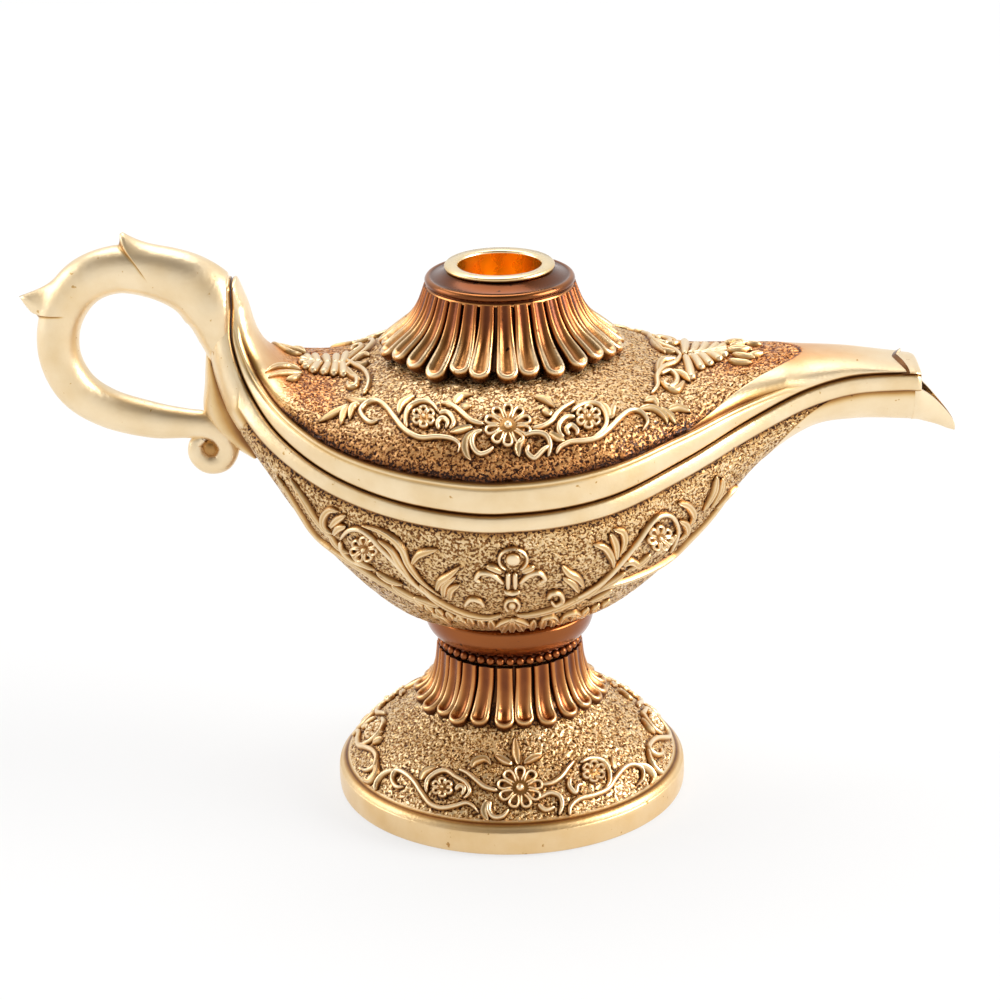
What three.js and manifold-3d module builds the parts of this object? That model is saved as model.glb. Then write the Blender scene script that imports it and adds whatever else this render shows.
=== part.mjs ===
// Backflow incense burner in the form of an oil lamp on a round pedestal foot.
// Millimetres, +Z up. The origin is the centre of the underside, +X points to the spout, -X to the handle.
import * as THREE from 'three';
import { mergeVertices } from 'three/addons/utils/BufferGeometryUtils.js';
import Module from 'manifold-3d';

const wasm = await Module();
wasm.setup();

// Clearances
const SEAT_GAP = 0.3; // between pieces that seat on each other
const FIT_GAP = 0.4; // round a piece that drops into a bore or a rim
const CUT_PAST = 1; // how far a cutter runs past the face it opens

// Hull: reach of the rim each way, half beam, and heights
const TAIL_REACH = 55;
const NOSE_REACH = 80.5;
const HALF_BEAM = 41.2;
const HULL_DEPTH = 38.1; // seam to keel, at the middle
const DOME_RISE = 24.3; // seam to the top of the lid's dome, at the middle
const TAIL_RISE = 36.4; // seam at the tail above the seam at the middle
const NOSE_RISE = 16; // seam at the nose above the seam at the middle
const STERN_DEPTH = 5; // sternpost, aft of the seam
const KEEL_TRIM = 3; // bottom of the hull cut flat to stand on the stem ring
const WALL = 3; // bowl wall at the rim
const FLOOR = 7.2; // keel to the chamber's floor, at the middle
const SPOUT_FLOOR = 2.6; // keel to the channel's floor, in the spout
const LID_ROOF = 3.2;

// Rim bands, either side of the seam
const LID_BAND = 6.4;
const BOWL_BAND = 3.6;
const BAND_SHARE = 0.8; // most of a section's height that a band may take
const BAND_BULGE = 0.5;
const BAND_EDGE = 0.4;
const PANEL_INSET = 1.1;
const LIP_DEPTH = 2.2; // locating lip of the lid, inside the bowl
const LIP_WALL = 1.6;

// Mouth of the spout, past the lid's nose
const LID_SETBACK = 0.7; // lid's end at the middle, before the nose station
const LID_SLANT = 0.28; // how far the lid's end runs forward for each mm off the middle
const MOUTH_REACH = 4.2; // rim of the mouth, past the nose station
const CHANNEL_HALF_WIDTH = 4.4;
const CHANNEL_HALF_HEIGHT = 4;
const BEAK_REACH = 8; // beak of the spout, past the rim of the mouth
const BEAK_DROP = 2.7; // tip of the beak below the keel of the mouth
const BEAK_SIDE = 8.4; // height of the beak's sides at the mouth
const BEAK_WALL = 1.1;

// Foot with its felt
const FOOT_RADIUS = 37.1;
const FOOT_BAND = 6.8; // height of the plain edge band
const FOOT_STEP = 2.2; // edge band to the start of the slope
const FOOT_HEIGHT = 32;
const FOOT_LIFT = 0.4; // foot's edge above the table, by the felt
const FOOT_ROUND = 0.4; // rounding of the edge band
const FELT_THICKNESS = 1;
const FELT_INSET = 3.3; // felt inside the foot's edge

// Stem: neck of the foot, skirt of petals, bead ring and stem ring
const NECK_RADIUS = 13.2;
const NECK_FLARE = 8.9; // foot's slope past the neck, by the petal tips
const NECK_HEIGHT = 14.2; // foot's top above that point of its slope
const SKIRT_EDGE = 1.4; // skirt past the neck, at its top
const SKIRT_FLARE = 7.6; // skirt past the neck, at the petal tips
const SKIRT_HEIGHT = 12.6;
const SKIRT_PETALS = 24;
const BEAD_RING_HEIGHT = 2;
const BEAD_RING_EDGE = 0.9; // bead ring's core past the neck
const BEAD_COUNT = 44;
const BEAD_SIZE = 0.8;
const BEAD_DIP = 0.2; // what is left of a bead between two beads
const STEM_RING_HEIGHT = 6.5;
const STEM_RING_EDGE = 4.7; // stem ring past the neck

// Cup for the cone, and the lid's boss, crown and collar round it
const CUP_RADIUS = 9.2;
const CUP_WALL = 0.7;
const CUP_OVERHANG = 2;
const CUP_FLANGE = 0.9;
const CUP_DEPTH = 12;
const CUP_SMOKE_HOLE = 2.2;
const CROWN_AXIS = -0.7;
const BOSS_WALL = 3.4;
const BOSS_RISE = 9.9; // boss above the top of the dome
const CROWN_EDGE = 1.4; // crown past its bore, at its top
const CROWN_FLARE = 10.5; // petal tips past the crown's top
const CROWN_HEIGHT = 13.6;
const CROWN_PETALS = 28;
const COLLAR_HEIGHT = 3.1;
const COLLAR_EDGE = 0.6; // collar past the crown's top
const PETAL_THICKNESS = 1.7;
const PETAL_RELIEF = 0.9;

// Raised scrolls, flowers and shells on the lid and the foot
const ORNAMENT_RISE = 1;
const ORNAMENT_SINK = 1.2; // root of the ornament, under the surface
const STROKE_ROOT = 0.95; // half width of a stroke, at its root
const STROKE_CREST = 0.45; // half width of a stroke, on its crest
const FLOWER_RADIUS = 4.8;
const BUD_RADIUS = 2.5;
const SHELL_RISE = 2.4; // ribs of a shell, where they cross the lid's ridge

// Tie rod through the stem, with a washer and a nut at each end
const ROD_RADIUS = 2.5;
const ROD_END = 1.5; // rod past each nut
const NUT_WALL = 2.1;
const NUT_HEIGHT = 4;
const WASHER_WIDTH = 3.5;
const WASHER_THICKNESS = 1;
const POCKET_WIDTH = 2; // nut's pocket, past the washer

// Handle: reach behind the sternpost, heights above the seam of the middle, and tube
const HANDLE_REACH = 35.9; // sternpost to the middle of the outer bend
const HANDLE_RISE = 38.8; // middle of the tube at the top of the loop
const HANDLE_LOW = 5.6; // middle of the tube at the lower arm
const HANDLE_RADIUS = 4.3; // tube at the outer bend
const HANDLE_ROOT_RADIUS = 6; // tube by the sternpost
const HANDLE_FLATTEN = 0.88; // tube across, as a share of the tube in the side view
const BARB_POINT = 0.4; // tube at the tip of a barb
const CURL_RADIUS = 4;
const CURL_TUBE = 1.45;
const CURL_HALF_WIDTH = 2.7;
const CURL_START = 35; // degrees
const CURL_TURN = 250; // degrees
const STRAP_HALF_WIDTH = 3.4;
const DOWEL_RADIUS = 1.5;
const DOWEL_LENGTH = 7;

// Steps of the meshes
const HULL_STEPS = 26;
const HOLLOW_STEPS = 20;
const MOUTH_STEPS = 10;
const ARC_STEPS = 6;
const GUTTER_STEPS = 8;
const ROUND_STEPS = 36;
const STEM_STEPS = 6;
const SMALL_STEPS = 20;
const NUT_SIDES = 6;
const TUBE_SIDES = 10;
const HANDLE_STEPS = 26;
const CURL_STEPS = 13;
const BARB_STEPS = 4;
const STRAP_STEPS = 5;
const STROKE_STEPS = 1.4; // for each stretch between two points of a stroke
const FLOWER_PETALS = 10;
const BUD_PETALS = 6;
const FOOT_MOTIFS = 3;

// Sizes that follow from the fits
const ROD_HOLE = ROD_RADIUS + FIT_GAP;
const NUT_RADIUS = ROD_RADIUS + NUT_WALL;
const WASHER_RADIUS = ROD_RADIUS + WASHER_WIDTH;
const WASHER_HOLE = ROD_RADIUS + SEAT_GAP;
const POCKET_RADIUS = WASHER_RADIUS + POCKET_WIDTH;
const FELT_RADIUS = FOOT_RADIUS - FELT_INSET;
const BEAD_CORE_RADIUS = NECK_RADIUS + BEAD_RING_EDGE;
const STEM_RING_RADIUS = NECK_RADIUS + STEM_RING_EDGE;
const CUP_BORE = CUP_RADIUS + FIT_GAP;
const CUP_FLANGE_RADIUS = CUP_RADIUS + CUP_OVERHANG;
const BOSS_RADIUS = CUP_BORE + BOSS_WALL;
const CROWN_BORE = BOSS_RADIUS + SEAT_GAP;
const CROWN_TOP_RADIUS = CROWN_BORE + CROWN_EDGE;
const COLLAR_RADIUS = CROWN_TOP_RADIUS + COLLAR_EDGE;

// Heights that follow from the stack of pieces
const FOOT_TOP = FOOT_LIFT + FOOT_HEIGHT;
const BEAD_Z = FOOT_TOP + SEAT_GAP;
const STEM_Z = BEAD_Z + BEAD_RING_HEIGHT + SEAT_GAP;
const BOWL_Z = STEM_Z + STEM_RING_HEIGHT + SEAT_GAP;
const KEEL_Z = BOWL_Z - KEEL_TRIM;
const FLOOR_Z = KEEL_Z + FLOOR;
const RIM_Z = KEEL_Z + HULL_DEPTH;
const DOME_Z = RIM_Z + DOME_RISE;
const BOSS_Z = DOME_Z + BOSS_RISE;
const COLLAR_Z = BOSS_Z + SEAT_GAP;
const CUP_Z = COLLAR_Z + COLLAR_HEIGHT + SEAT_GAP;

// Lines of the hull from tail to mouth, as shares of the sizes above:
// along the reach, beam, rise of the seam, dome over it, depth under it,
// forward shift of the ridge and of the keel in stern depths, and height of the lid's band
const LINES = [
  [-1, 0.053, 1, 0.016, -0.02, 0.2, -0.4, 0.14],
  [-1, 0.1, 0.863, 0.008, 0.031, 0.62, -0.92, 0.23],
  [-1, 0.165, 0.675, 0.03, 0.076, 0.96, -1.04, 0.31],
  [-0.942, 0.27, 0.445, 0.195, 0.13, 0.88, -1.2, 0.47],
  [-0.818, 0.49, 0.256, 0.378, 0.275, 0.56, -1.1, 0.69],
  [-0.609, 0.725, 0.107, 0.568, 0.605, 0.3, -0.9, 0.84],
  [-0.327, 0.93, 0.028, 0.865, 0.945, 0.16, -0.4, 0.97],
  [0, 1, 0, 1, 1, 0, 0, 1],
  [0.236, 0.903, 0.0875, 0.845, 0.932, -0.12, 0.2, 0.97],
  [0.435, 0.65, 0.325, 0.53, 0.665, -0.12, 0.6, 0.81],
  [0.602, 0.408, 0.6, 0.395, 0.37, -0.1, 0.6, 0.59],
  [0.745, 0.272, 0.85, 0.23, 0.28, 0, 0.4, 0.31],
  [0.87, 0.2, 0.972, 0.13, 0.294, 0, 0.3, 0.16],
  [1, 0.165, 0.981, 0.06, 0.307, -0.1, 0.2, 0.11],
];
const MOUTH_LINE = [0.158, 0.96, 0.05, 0.307, 0, 0.1, 0.11];
LINES.push([1 + MOUTH_REACH / NOSE_REACH, ...MOUTH_LINE]);
const STATIONS = LINES.length - 1;
const MIDDLE = LINES.findIndex(([along]) => along === 0);

// Stations where the hollows start and end
const CHAMBER_FROM = 3.5;
const CHAMBER_TO = 12.4;
const DOME_FROM = 4.3;
const DOME_TO = 9.8;
const LIP_FROM = 4;
const LIP_TO = 10.2;
const CHANNEL_FROM = 11.4;
const HOLLOW_PAST = 4; // hollows run past the seam
const THIN_BEAM = 0.25; // beam where the floor has its thickness of the spout
const FULL_BEAM = 0.95; // beam where the floor has its thickness of the middle

// A smooth curve through rows of numbers, at t from 0 to 1
function spline(rows, t) {
  const last = rows.length - 1;
  const at = THREE.MathUtils.clamp(t, 0, 1) * last;
  const i = Math.min(Math.floor(at), last - 1);
  const f = at - i;
  const before = rows[Math.max(i - 1, 0)];
  const after = rows[Math.min(i + 2, last)];
  return rows[i].map((a, k) => {
    const b = rows[i + 1][k];
    const v0 = (b - before[k]) / 2;
    const v1 = (after[k] - a) / 2;
    return (2 * a - 2 * b + v0 + v1) * f ** 3 + (-3 * a + 3 * b - 2 * v0 - v1) * f ** 2 + v0 * f + a;
  });
}

// The seam, ridge and keel at a station, in the side view, with the half beam and the lid's band
function hullAt(station) {
  const [along, beam, rim, dome, depth, fore, aft, band] = spline(LINES, station / STATIONS);
  const x = along * (along < 0 ? TAIL_REACH : NOSE_REACH);
  const z = RIM_Z + rim * (station < MIDDLE ? TAIL_RISE : NOSE_RISE);
  return {
    half: beam * HALF_BEAM,
    band: band * LID_BAND,
    seam: new THREE.Vector2(x, z),
    ridge: new THREE.Vector2(x + fore * STERN_DEPTH, z + dome * DOME_RISE),
    keel: new THREE.Vector2(x + aft * STERN_DEPTH, z - depth * HULL_DEPTH),
  };
}

// Unit vector across the seam in the side view, towards the lid
function seamNormal(station) {
  const step = 0.05;
  const a = hullAt(Math.max(station - step, 0)).seam;
  const b = hullAt(Math.min(station + step, STATIONS)).seam;
  const run = b.sub(a).normalize();
  return new THREE.Vector2(-run.y, run.x);
}

// Mesh and solid conversions
function toSolid(geometry) {
  const bare = geometry.index ? geometry.toNonIndexed() : geometry.clone();
  for (const name of Object.keys(bare.attributes)) {
    if (name !== 'position') bare.deleteAttribute(name);
  }
  const merged = mergeVertices(bare, 1e-4);
  const mesh = new wasm.Mesh({
    numProp: 3,
    vertProperties: new Float32Array(merged.attributes.position.array),
    triVerts: new Uint32Array(merged.index.array),
  });
  return new wasm.Manifold(mesh);
}

function toGeometry(solid) {
  const mesh = solid.getMesh();
  const geometry = new THREE.BufferGeometry();
  geometry.setAttribute('position', new THREE.BufferAttribute(new Float32Array(mesh.vertProperties), 3));
  geometry.setIndex(new THREE.BufferAttribute(new Uint32Array(mesh.triVerts), 1));
  geometry.computeVertexNormals();
  return geometry;
}

function moved(geometry, x, y, z) {
  geometry.translate(x, y, z);
  return geometry;
}

// A solid from points and triangles, turned inside out if the triangles face inwards
function shellSolid(points, index) {
  const positions = points.flatMap((p) => [p.x, p.y, p.z]);
  const geometry = new THREE.BufferGeometry();
  geometry.setAttribute('position', new THREE.Float32BufferAttribute(positions, 3));
  geometry.setIndex(index);
  const solid = toSolid(geometry);
  if (solid.volume() > 0) return solid;
  geometry.setIndex([...index].reverse());
  return toSolid(geometry);
}

// Triangles between loops of equal length; a closed run joins the last loop to the first
function wallTriangles(loops, closed) {
  const size = loops[0].length;
  const index = [];
  for (let i = 0; i < loops.length - (closed ? 0 : 1); i += 1) {
    const next = ((i + 1) % loops.length) * size;
    for (let j = 0; j < size; j += 1) {
      const k = (j + 1) % size;
      index.push(i * size + j, i * size + k, next + k, i * size + j, next + k, next + j);
    }
  }
  return index;
}

// Triangles over a flat loop
function capTriangles(loop, start, turned) {
  const origin = loop[0];
  const across = loop[loop.length - 1].clone().sub(origin).normalize();
  const normal = new THREE.Vector3();
  for (let j = 1; j < loop.length - 1; j += 1) {
    normal.add(loop[j].clone().sub(origin).cross(loop[j + 1].clone().sub(origin)));
  }
  const up = normal.normalize().clone().cross(across);
  const flat = loop.map((p) => {
    const d = p.clone().sub(origin);
    return new THREE.Vector2(d.dot(across), d.dot(up));
  });
  const corners = THREE.ShapeUtils.triangulateShape(flat, []);
  return corners.flatMap(([a, b, c]) => (turned ? [a, c, b] : [a, b, c]).map((k) => start + k));
}

// A solid lofted through loops, capped at both ends
function loftSolid(loops) {
  const last = loops.length - 1;
  const index = [
    ...wallTriangles(loops, false),
    ...capTriangles(loops[0], 0, true),
    ...capTriangles(loops[last], last * loops[0].length, false),
  ];
  return shellSolid(loops.flat(), index);
}

// A solid lofted through loops round a ring
function ringSolid(loops) {
  return shellSolid(loops.flat(), wallTriangles(loops, true));
}

function ringPoint(radius, angle, z) {
  return new THREE.Vector3(radius * Math.cos(angle), radius * Math.sin(angle), z);
}

// A turned solid from [radius, height] rows
function lathe(rows, steps = ROUND_STEPS) {
  const geometry = new THREE.LatheGeometry(rows.map(([r, z]) => new THREE.Vector2(r, z)), steps);
  geometry.rotateX(Math.PI / 2);
  const solid = toSolid(geometry);
  if (solid.volume() > 0) return solid;
  geometry.setIndex([...geometry.index.array].reverse());
  return toSolid(geometry);
}

function post(radius, z0, z1, x = 0, sides = ROUND_STEPS) {
  const geometry = new THREE.CylinderGeometry(radius, radius, z1 - z0, sides);
  geometry.rotateX(Math.PI / 2);
  return toSolid(moved(geometry, x, 0, (z0 + z1) / 2));
}

// Half of a section's outline as [across, distance] rows, from the rim to the middle, mirrored to a loop.
// The distance runs from the seam towards the ridge or the keel
function sectionLoop(seam, end, rows) {
  const heading = end.clone().sub(seam).normalize();
  const point = (across, distance) =>
    new THREE.Vector3(seam.x + heading.x * distance, across, seam.y + heading.y * distance);
  const near = rows.map(([across, distance]) => point(-across, distance));
  const far = rows.filter(([across]) => across > 0).map(([across, distance]) => point(across, distance));
  return [...near, ...far.reverse()];
}

function archRows(half, from, to) {
  const rows = [];
  for (let k = 0; k <= ARC_STEPS; k += 1) {
    const turn = (k / ARC_STEPS) * (Math.PI / 2);
    const across = k === ARC_STEPS ? 0 : half * Math.cos(turn);
    rows.push([across, from + (to - from) * Math.sin(turn)]);
  }
  return rows;
}

// Outer sections of the lid and of the bowl, grown all round by a margin and sunk across the seam
function outerSection(half, start, end, band, grow) {
  const height = end.distanceTo(start) + grow;
  const edge = Math.min(band, (height - 2 * grow) * BAND_SHARE) + 2 * grow;
  const rows = [
    [half + grow - BAND_EDGE, 0],
    [half + grow + BAND_BULGE, edge / 2],
    [half + grow - BAND_EDGE, edge],
    ...archRows(Math.max(half - PANEL_INSET, half / 2) + grow, edge, height),
  ];
  return sectionLoop(start, end, rows);
}

function lidSection(station, grow, sink) {
  const { half, band, seam, ridge } = hullAt(station);
  const start = seam.clone().addScaledVector(seamNormal(station), SEAT_GAP / 2 - sink - grow);
  return outerSection(half, start, ridge, band + sink, grow);
}

function bowlSection(station, grow) {
  const { half, seam, keel } = hullAt(station);
  const start = seam.clone().addScaledVector(seamNormal(station), grow - SEAT_GAP / 2);
  return outerSection(half, start, keel, BOWL_BAND, grow);
}

// Sections of the hollows, open past the seam
function chamberHeight({ half, seam, keel }) {
  const share = THREE.MathUtils.smoothstep(half / HALF_BEAM, THIN_BEAM, FULL_BEAM);
  return keel.distanceTo(seam) - THREE.MathUtils.lerp(SPOUT_FLOOR, FLOOR, share);
}

function chamberSection(station) {
  const at = hullAt(station);
  const wide = at.half - WALL;
  return sectionLoop(at.seam, at.keel, [[wide, -HOLLOW_PAST], ...archRows(wide, 0, chamberHeight(at))]);
}

// Half width of the lid's locating lip: the chamber's wall at the lip's depth, less the clearance
function lipHalf(at) {
  const slope = Math.min(LIP_DEPTH / chamberHeight(at), 1);
  return (at.half - WALL) * Math.sqrt(1 - slope ** 2) - FIT_GAP;
}

function domeSection(station) {
  const at = hullAt(station);
  const wide = lipHalf(at) - LIP_WALL;
  const height = Math.max(at.ridge.distanceTo(at.seam) - LID_ROOF, SEAT_GAP);
  return sectionLoop(at.seam, at.ridge, [[wide, -HOLLOW_PAST], ...archRows(wide, 0, height)]);
}

// The lip as a block from inside the lid's rim down into the bowl, hollowed with the dome
function lipSection(station) {
  const at = hullAt(station);
  const root = -2 * SEAT_GAP;
  return sectionLoop(at.seam, at.keel, [[lipHalf(at), root], [lipHalf(at), LIP_DEPTH], [0, LIP_DEPTH]]);
}

function hullLoft(section, from, to, steps) {
  const loops = [];
  for (let i = 0; i <= steps; i += 1) {
    loops.push(section(from + ((to - from) * i) / steps));
  }
  return loftSolid(loops);
}

const lidOuter = hullLoft((s) => lidSection(s, 0, 0), 0, STATIONS, HULL_STEPS);
const lidGrown = hullLoft((s) => lidSection(s, SEAT_GAP, 0), 0, STATIONS, HULL_STEPS);
const bowlOuter = hullLoft((s) => bowlSection(s, 0), 0, STATIONS, HULL_STEPS);
const bowlGrown = hullLoft((s) => bowlSection(s, SEAT_GAP), 0, STATIONS, HULL_STEPS);

// Everything forward of the joint between the lid's nose and the rim of the mouth, notched in plan
const mouthAt = hullAt(STATIONS);
const MOUTH_X = NOSE_REACH + MOUTH_REACH;
const CHANNEL_Z = mouthAt.keel.y + SPOUT_FLOOR + CHANNEL_HALF_HEIGHT;

function pastNose(margin) {
  const x = NOSE_REACH - LID_SETBACK + margin;
  const side = HALF_BEAM;
  const far = MOUTH_X + BEAK_REACH + side;
  const slanted = x + LID_SLANT * side;
  const plan = new THREE.Shape([
    new THREE.Vector2(x, 0),
    new THREE.Vector2(slanted, -side),
    new THREE.Vector2(far, -side),
    new THREE.Vector2(far, side),
    new THREE.Vector2(slanted, side),
  ]);
  return toSolid(new THREE.ExtrudeGeometry(plan, { depth: 2 * DOME_Z, bevelEnabled: false }));
}

// Beak of the spout: a gutter that narrows and falls to its tip.
// Shares along its reach, of the mouth's half beam, of the drop and of the side's height
const BEAK = [
  [-0.19, 0.98, 0, 1],
  [0, 0.97, 0, 1],
  [0.28, 0.7, 0.25, 0.86],
  [0.54, 0.46, 0.5, 0.67],
  [0.79, 0.28, 0.82, 0.48],
  [0.95, 0.19, 0.97, 0.29],
  [1, 0.13, 1, 0.14],
];

function gutterLoop(x, half, floor, top) {
  const loop = [];
  for (let k = 0; k <= GUTTER_STEPS; k += 1) {
    const turn = (k / GUTTER_STEPS) * Math.PI;
    loop.push(new THREE.Vector3(x, -half * Math.cos(turn), top - (top - floor) * Math.sin(turn)));
  }
  return loop;
}

function beak() {
  return loftSolid(BEAK.map(([along, wide, drop, high]) => {
    const floor = mouthAt.keel.y - BEAK_DROP * drop;
    return gutterLoop(MOUTH_X + BEAK_REACH * along, mouthAt.half * wide, floor, floor + BEAK_SIDE * high);
  }));
}

function beakTrough() {
  return loftSolid(BEAK.filter(([along, wide]) => along >= 0 && mouthAt.half * wide > BEAK_WALL)
    .map(([along, wide, drop, high]) => {
      const half = Math.min(CHANNEL_HALF_WIDTH, mouthAt.half * wide - BEAK_WALL);
      const keel = mouthAt.keel.y - BEAK_DROP * drop;
      const top = keel + BEAK_SIDE * high + CUT_PAST;
      return gutterLoop(MOUTH_X + BEAK_REACH * along, half, keel + SPOUT_FLOOR, top);
    }));
}

function spoutChannel() {
  const from = hullAt(CHANNEL_FROM).seam.x;
  const to = MOUTH_X + CUT_PAST;
  const geometry = new THREE.CylinderGeometry(1, 1, to - from, SMALL_STEPS);
  geometry.rotateZ(Math.PI / 2);
  geometry.scale(1, CHANNEL_HALF_WIDTH, CHANNEL_HALF_HEIGHT);
  return toSolid(moved(geometry, (from + to) / 2, 0, CHANNEL_Z));
}

// Rim of the mouth: the spout's roof past the lid's nose, sunk into the bowl's rim
function mouthRim() {
  const roof = hullLoft((s) => lidSection(s, 0, 2 * SEAT_GAP), CHANNEL_FROM, STATIONS, MOUTH_STEPS);
  return roof.intersect(pastNose(SEAT_GAP / 2));
}

function makeBowl() {
  const block = new THREE.BoxGeometry(4 * HALF_BEAM, 4 * HALF_BEAM, BOWL_Z);
  const below = toSolid(moved(block, 0, 0, BOWL_Z / 2));
  return bowlOuter
    .add(mouthRim())
    .add(beak())
    .subtract(hullLoft(chamberSection, CHAMBER_FROM, CHAMBER_TO, HULL_STEPS))
    .subtract(spoutChannel())
    .subtract(beakTrough())
    .subtract(below)
    .subtract(post(WASHER_RADIUS + FIT_GAP, FLOOR_Z, FLOOR_Z + WALL))
    .subtract(post(ROD_HOLE, 0, FLOOR_Z + WALL));
}

// Direction that stands on a surface, at a [u, v] place on it
function standing(surface, [u, v]) {
  const step = 0.02;
  const along = surface([u + step, v]).sub(surface([u - step, v]));
  const up = surface([u, v + step]).sub(surface([u, v - step]));
  return along.cross(up).normalize();
}

// A raised stroke through [u, v, rise] rows on a surface
function strokeSolid(surface, rows) {
  const steps = Math.ceil(STROKE_STEPS * (rows.length - 1));
  const near = 0.02;
  const loops = [];
  for (let i = 0; i <= steps; i += 1) {
    const t = i / steps;
    const row = spline(rows, t);
    const at = surface(row);
    const up = standing(surface, row);
    const run = surface(spline(rows, t + near)).sub(surface(spline(rows, t - near)));
    const side = up.clone().cross(run).normalize();
    const corner = (across, rise) => at.clone().addScaledVector(side, across).addScaledVector(up, rise);
    loops.push([
      corner(-STROKE_ROOT, -ORNAMENT_SINK),
      corner(-STROKE_CREST, row[2]),
      corner(STROKE_CREST, row[2]),
      corner(STROKE_ROOT, -ORNAMENT_SINK),
    ]);
  }
  return loftSolid(loops);
}

// A flower of round petals with a button in its middle, as [share of the radius, share of the rise] rows
const FLOWER_ROWS = [[0.95, 0.6], [0.5, 0.6], [0.25, 1.2]];
const PETAL_NOTCH = 0.8;

function flowerSolid(surface, place, radius, petals) {
  const at = surface(place);
  const up = standing(surface, place);
  const across = surface([place[0] + 0.02, place[1]]).sub(at).normalize();
  const north = up.clone().cross(across);
  const ring = (share, rise) => {
    const loop = [];
    for (let k = 0; k < 2 * petals; k += 1) {
      const turn = (k / petals) * Math.PI;
      const reach = radius * share * (k % 2 ? PETAL_NOTCH : 1);
      loop.push(at.clone()
        .addScaledVector(across, reach * Math.cos(turn))
        .addScaledVector(north, reach * Math.sin(turn))
        .addScaledVector(up, rise));
    }
    return loop;
  };
  const raised = FLOWER_ROWS.map(([share, rise]) => ring(share, rise * ORNAMENT_RISE));
  return loftSolid([ring(1, -ORNAMENT_SINK), ...raised]);
}

// A motif of scrolls with a flower in its middle and a bud at each side
function motif(surface, scrolls, flower, buds) {
  const strokes = scrolls.map((rows) => strokeSolid(surface, rows.map((row) => [...row, ORNAMENT_RISE])));
  const round = buds.map((bud) => flowerSolid(surface, bud, BUD_RADIUS, BUD_PETALS));
  return wasm.Manifold.union([
    ...strokes,
    ...round,
    flowerSolid(surface, flower, FLOWER_RADIUS, FLOWER_PETALS),
  ]);
}

// The lid's panel at a [station, degrees] place: 0 degrees is its near edge and 90 its ridge
function lidPanel([station, degrees]) {
  const { half, band, seam, ridge } = hullAt(station);
  const start = seam.clone().addScaledVector(seamNormal(station), SEAT_GAP / 2);
  const height = ridge.distanceTo(start);
  const edge = Math.min(band, height * BAND_SHARE);
  const turn = THREE.MathUtils.degToRad(degrees);
  const along = (edge + (height - edge) * Math.sin(turn)) / height;
  const at = start.lerp(ridge, along);
  return new THREE.Vector3(at.x, -Math.max(half - PANEL_INSET, half / 2) * Math.cos(turn), at.y);
}

// Scrolls on the lid's near side as [station, degrees] rows: wave, ring, stem and hook, left and right
const LID_SCROLLS = [
  [[5.26, 44], [5.37, 50], [5.5, 50], [5.72, 38], [5.93, 28], [6.22, 26], [6.43, 24], [6.45, 18]],
  [[5.88, 32], [5.89, 44], [6.08, 47], [6.25, 40], [6.39, 38], [6.37, 31]],
  [[6.73, 33], [6.53, 38], [6.35, 44]],
  [[6.72, 30], [6.6, 25], [6.68, 18], [6.84, 22]],
  [[8.55, 26], [8.44, 36], [8.21, 32], [7.94, 22], [7.65, 22], [7.47, 16]],
  [[7.52, 27], [7.56, 34], [7.76, 42], [7.99, 42], [8.06, 30], [7.89, 22]],
  [[7.23, 30], [7.43, 34], [7.59, 41]],
  [[7.15, 26], [7.37, 26], [7.39, 14]],
  [[5.35, 52], [5.04, 54]],
  [[5.07, 47], [4.62, 24]],
  [[8.45, 38], [8.71, 34], [8.81, 20]],
  [[8.82, 33], [9.13, 25]],
];
const LID_FLOWER = [7.01, 32];
const LID_BUDS = [[6.08, 38], [7.86, 35]];

// Shells across the ridge at the lid's two ends: station of each rib at the ridge and at its tips
const SHELL_RIBS = [
  [4.22, 4.1], [4.4, 4.3], [4.59, 4.53], [4.75, 4.73], [4.91, 4.94],
  [9.15, 9.2], [9.24, 9.35], [9.37, 9.5], [9.48, 9.64], [9.6, 9.8],
];
const SHELL_TIP = 74; // degrees

function shellRib([top, tip]) {
  const low = ORNAMENT_RISE / 2;
  return strokeSolid(lidPanel, [[tip, SHELL_TIP, low], [top, 90, SHELL_RISE], [tip, 180 - SHELL_TIP, low]]);
}

function lidOrnament() {
  const near = motif(lidPanel, LID_SCROLLS, LID_FLOWER, LID_BUDS);
  return wasm.Manifold.union([near, near.mirror([0, 1, 0]), ...SHELL_RIBS.map(shellRib)]);
}

// Lid with its ornament and its boss, bored for the cup
function makeLid() {
  return lidOuter
    .add(lidOrnament())
    .subtract(pastNose(-SEAT_GAP / 2))
    .add(hullLoft(lipSection, LIP_FROM, LIP_TO, HOLLOW_STEPS))
    .add(post(BOSS_RADIUS, DOME_Z - LID_ROOF, BOSS_Z, CROWN_AXIS))
    .subtract(hullLoft(domeSection, DOME_FROM, DOME_TO, HOLLOW_STEPS))
    .subtract(post(CUP_BORE, DOME_Z - 2 * LID_ROOF, BOSS_Z + CUT_PAST, CROWN_AXIS));
}

// A skirt of tongue-shaped petals hanging from its top edge, round the axis.
// Each petal has a groove and two columns of its face; the groove is cut in and stops short of the tip
const PETAL_COLUMNS = [
  { relief: -PETAL_RELIEF, reach: 0.76 },
  { relief: 0.1, reach: 0.97 },
  { relief: 0.1, reach: 0.97 },
];
const PETAL_ROWS = 4;
const PETAL_FADE = 0.25; // depth of the groove at the top, as a share of its full depth

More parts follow.
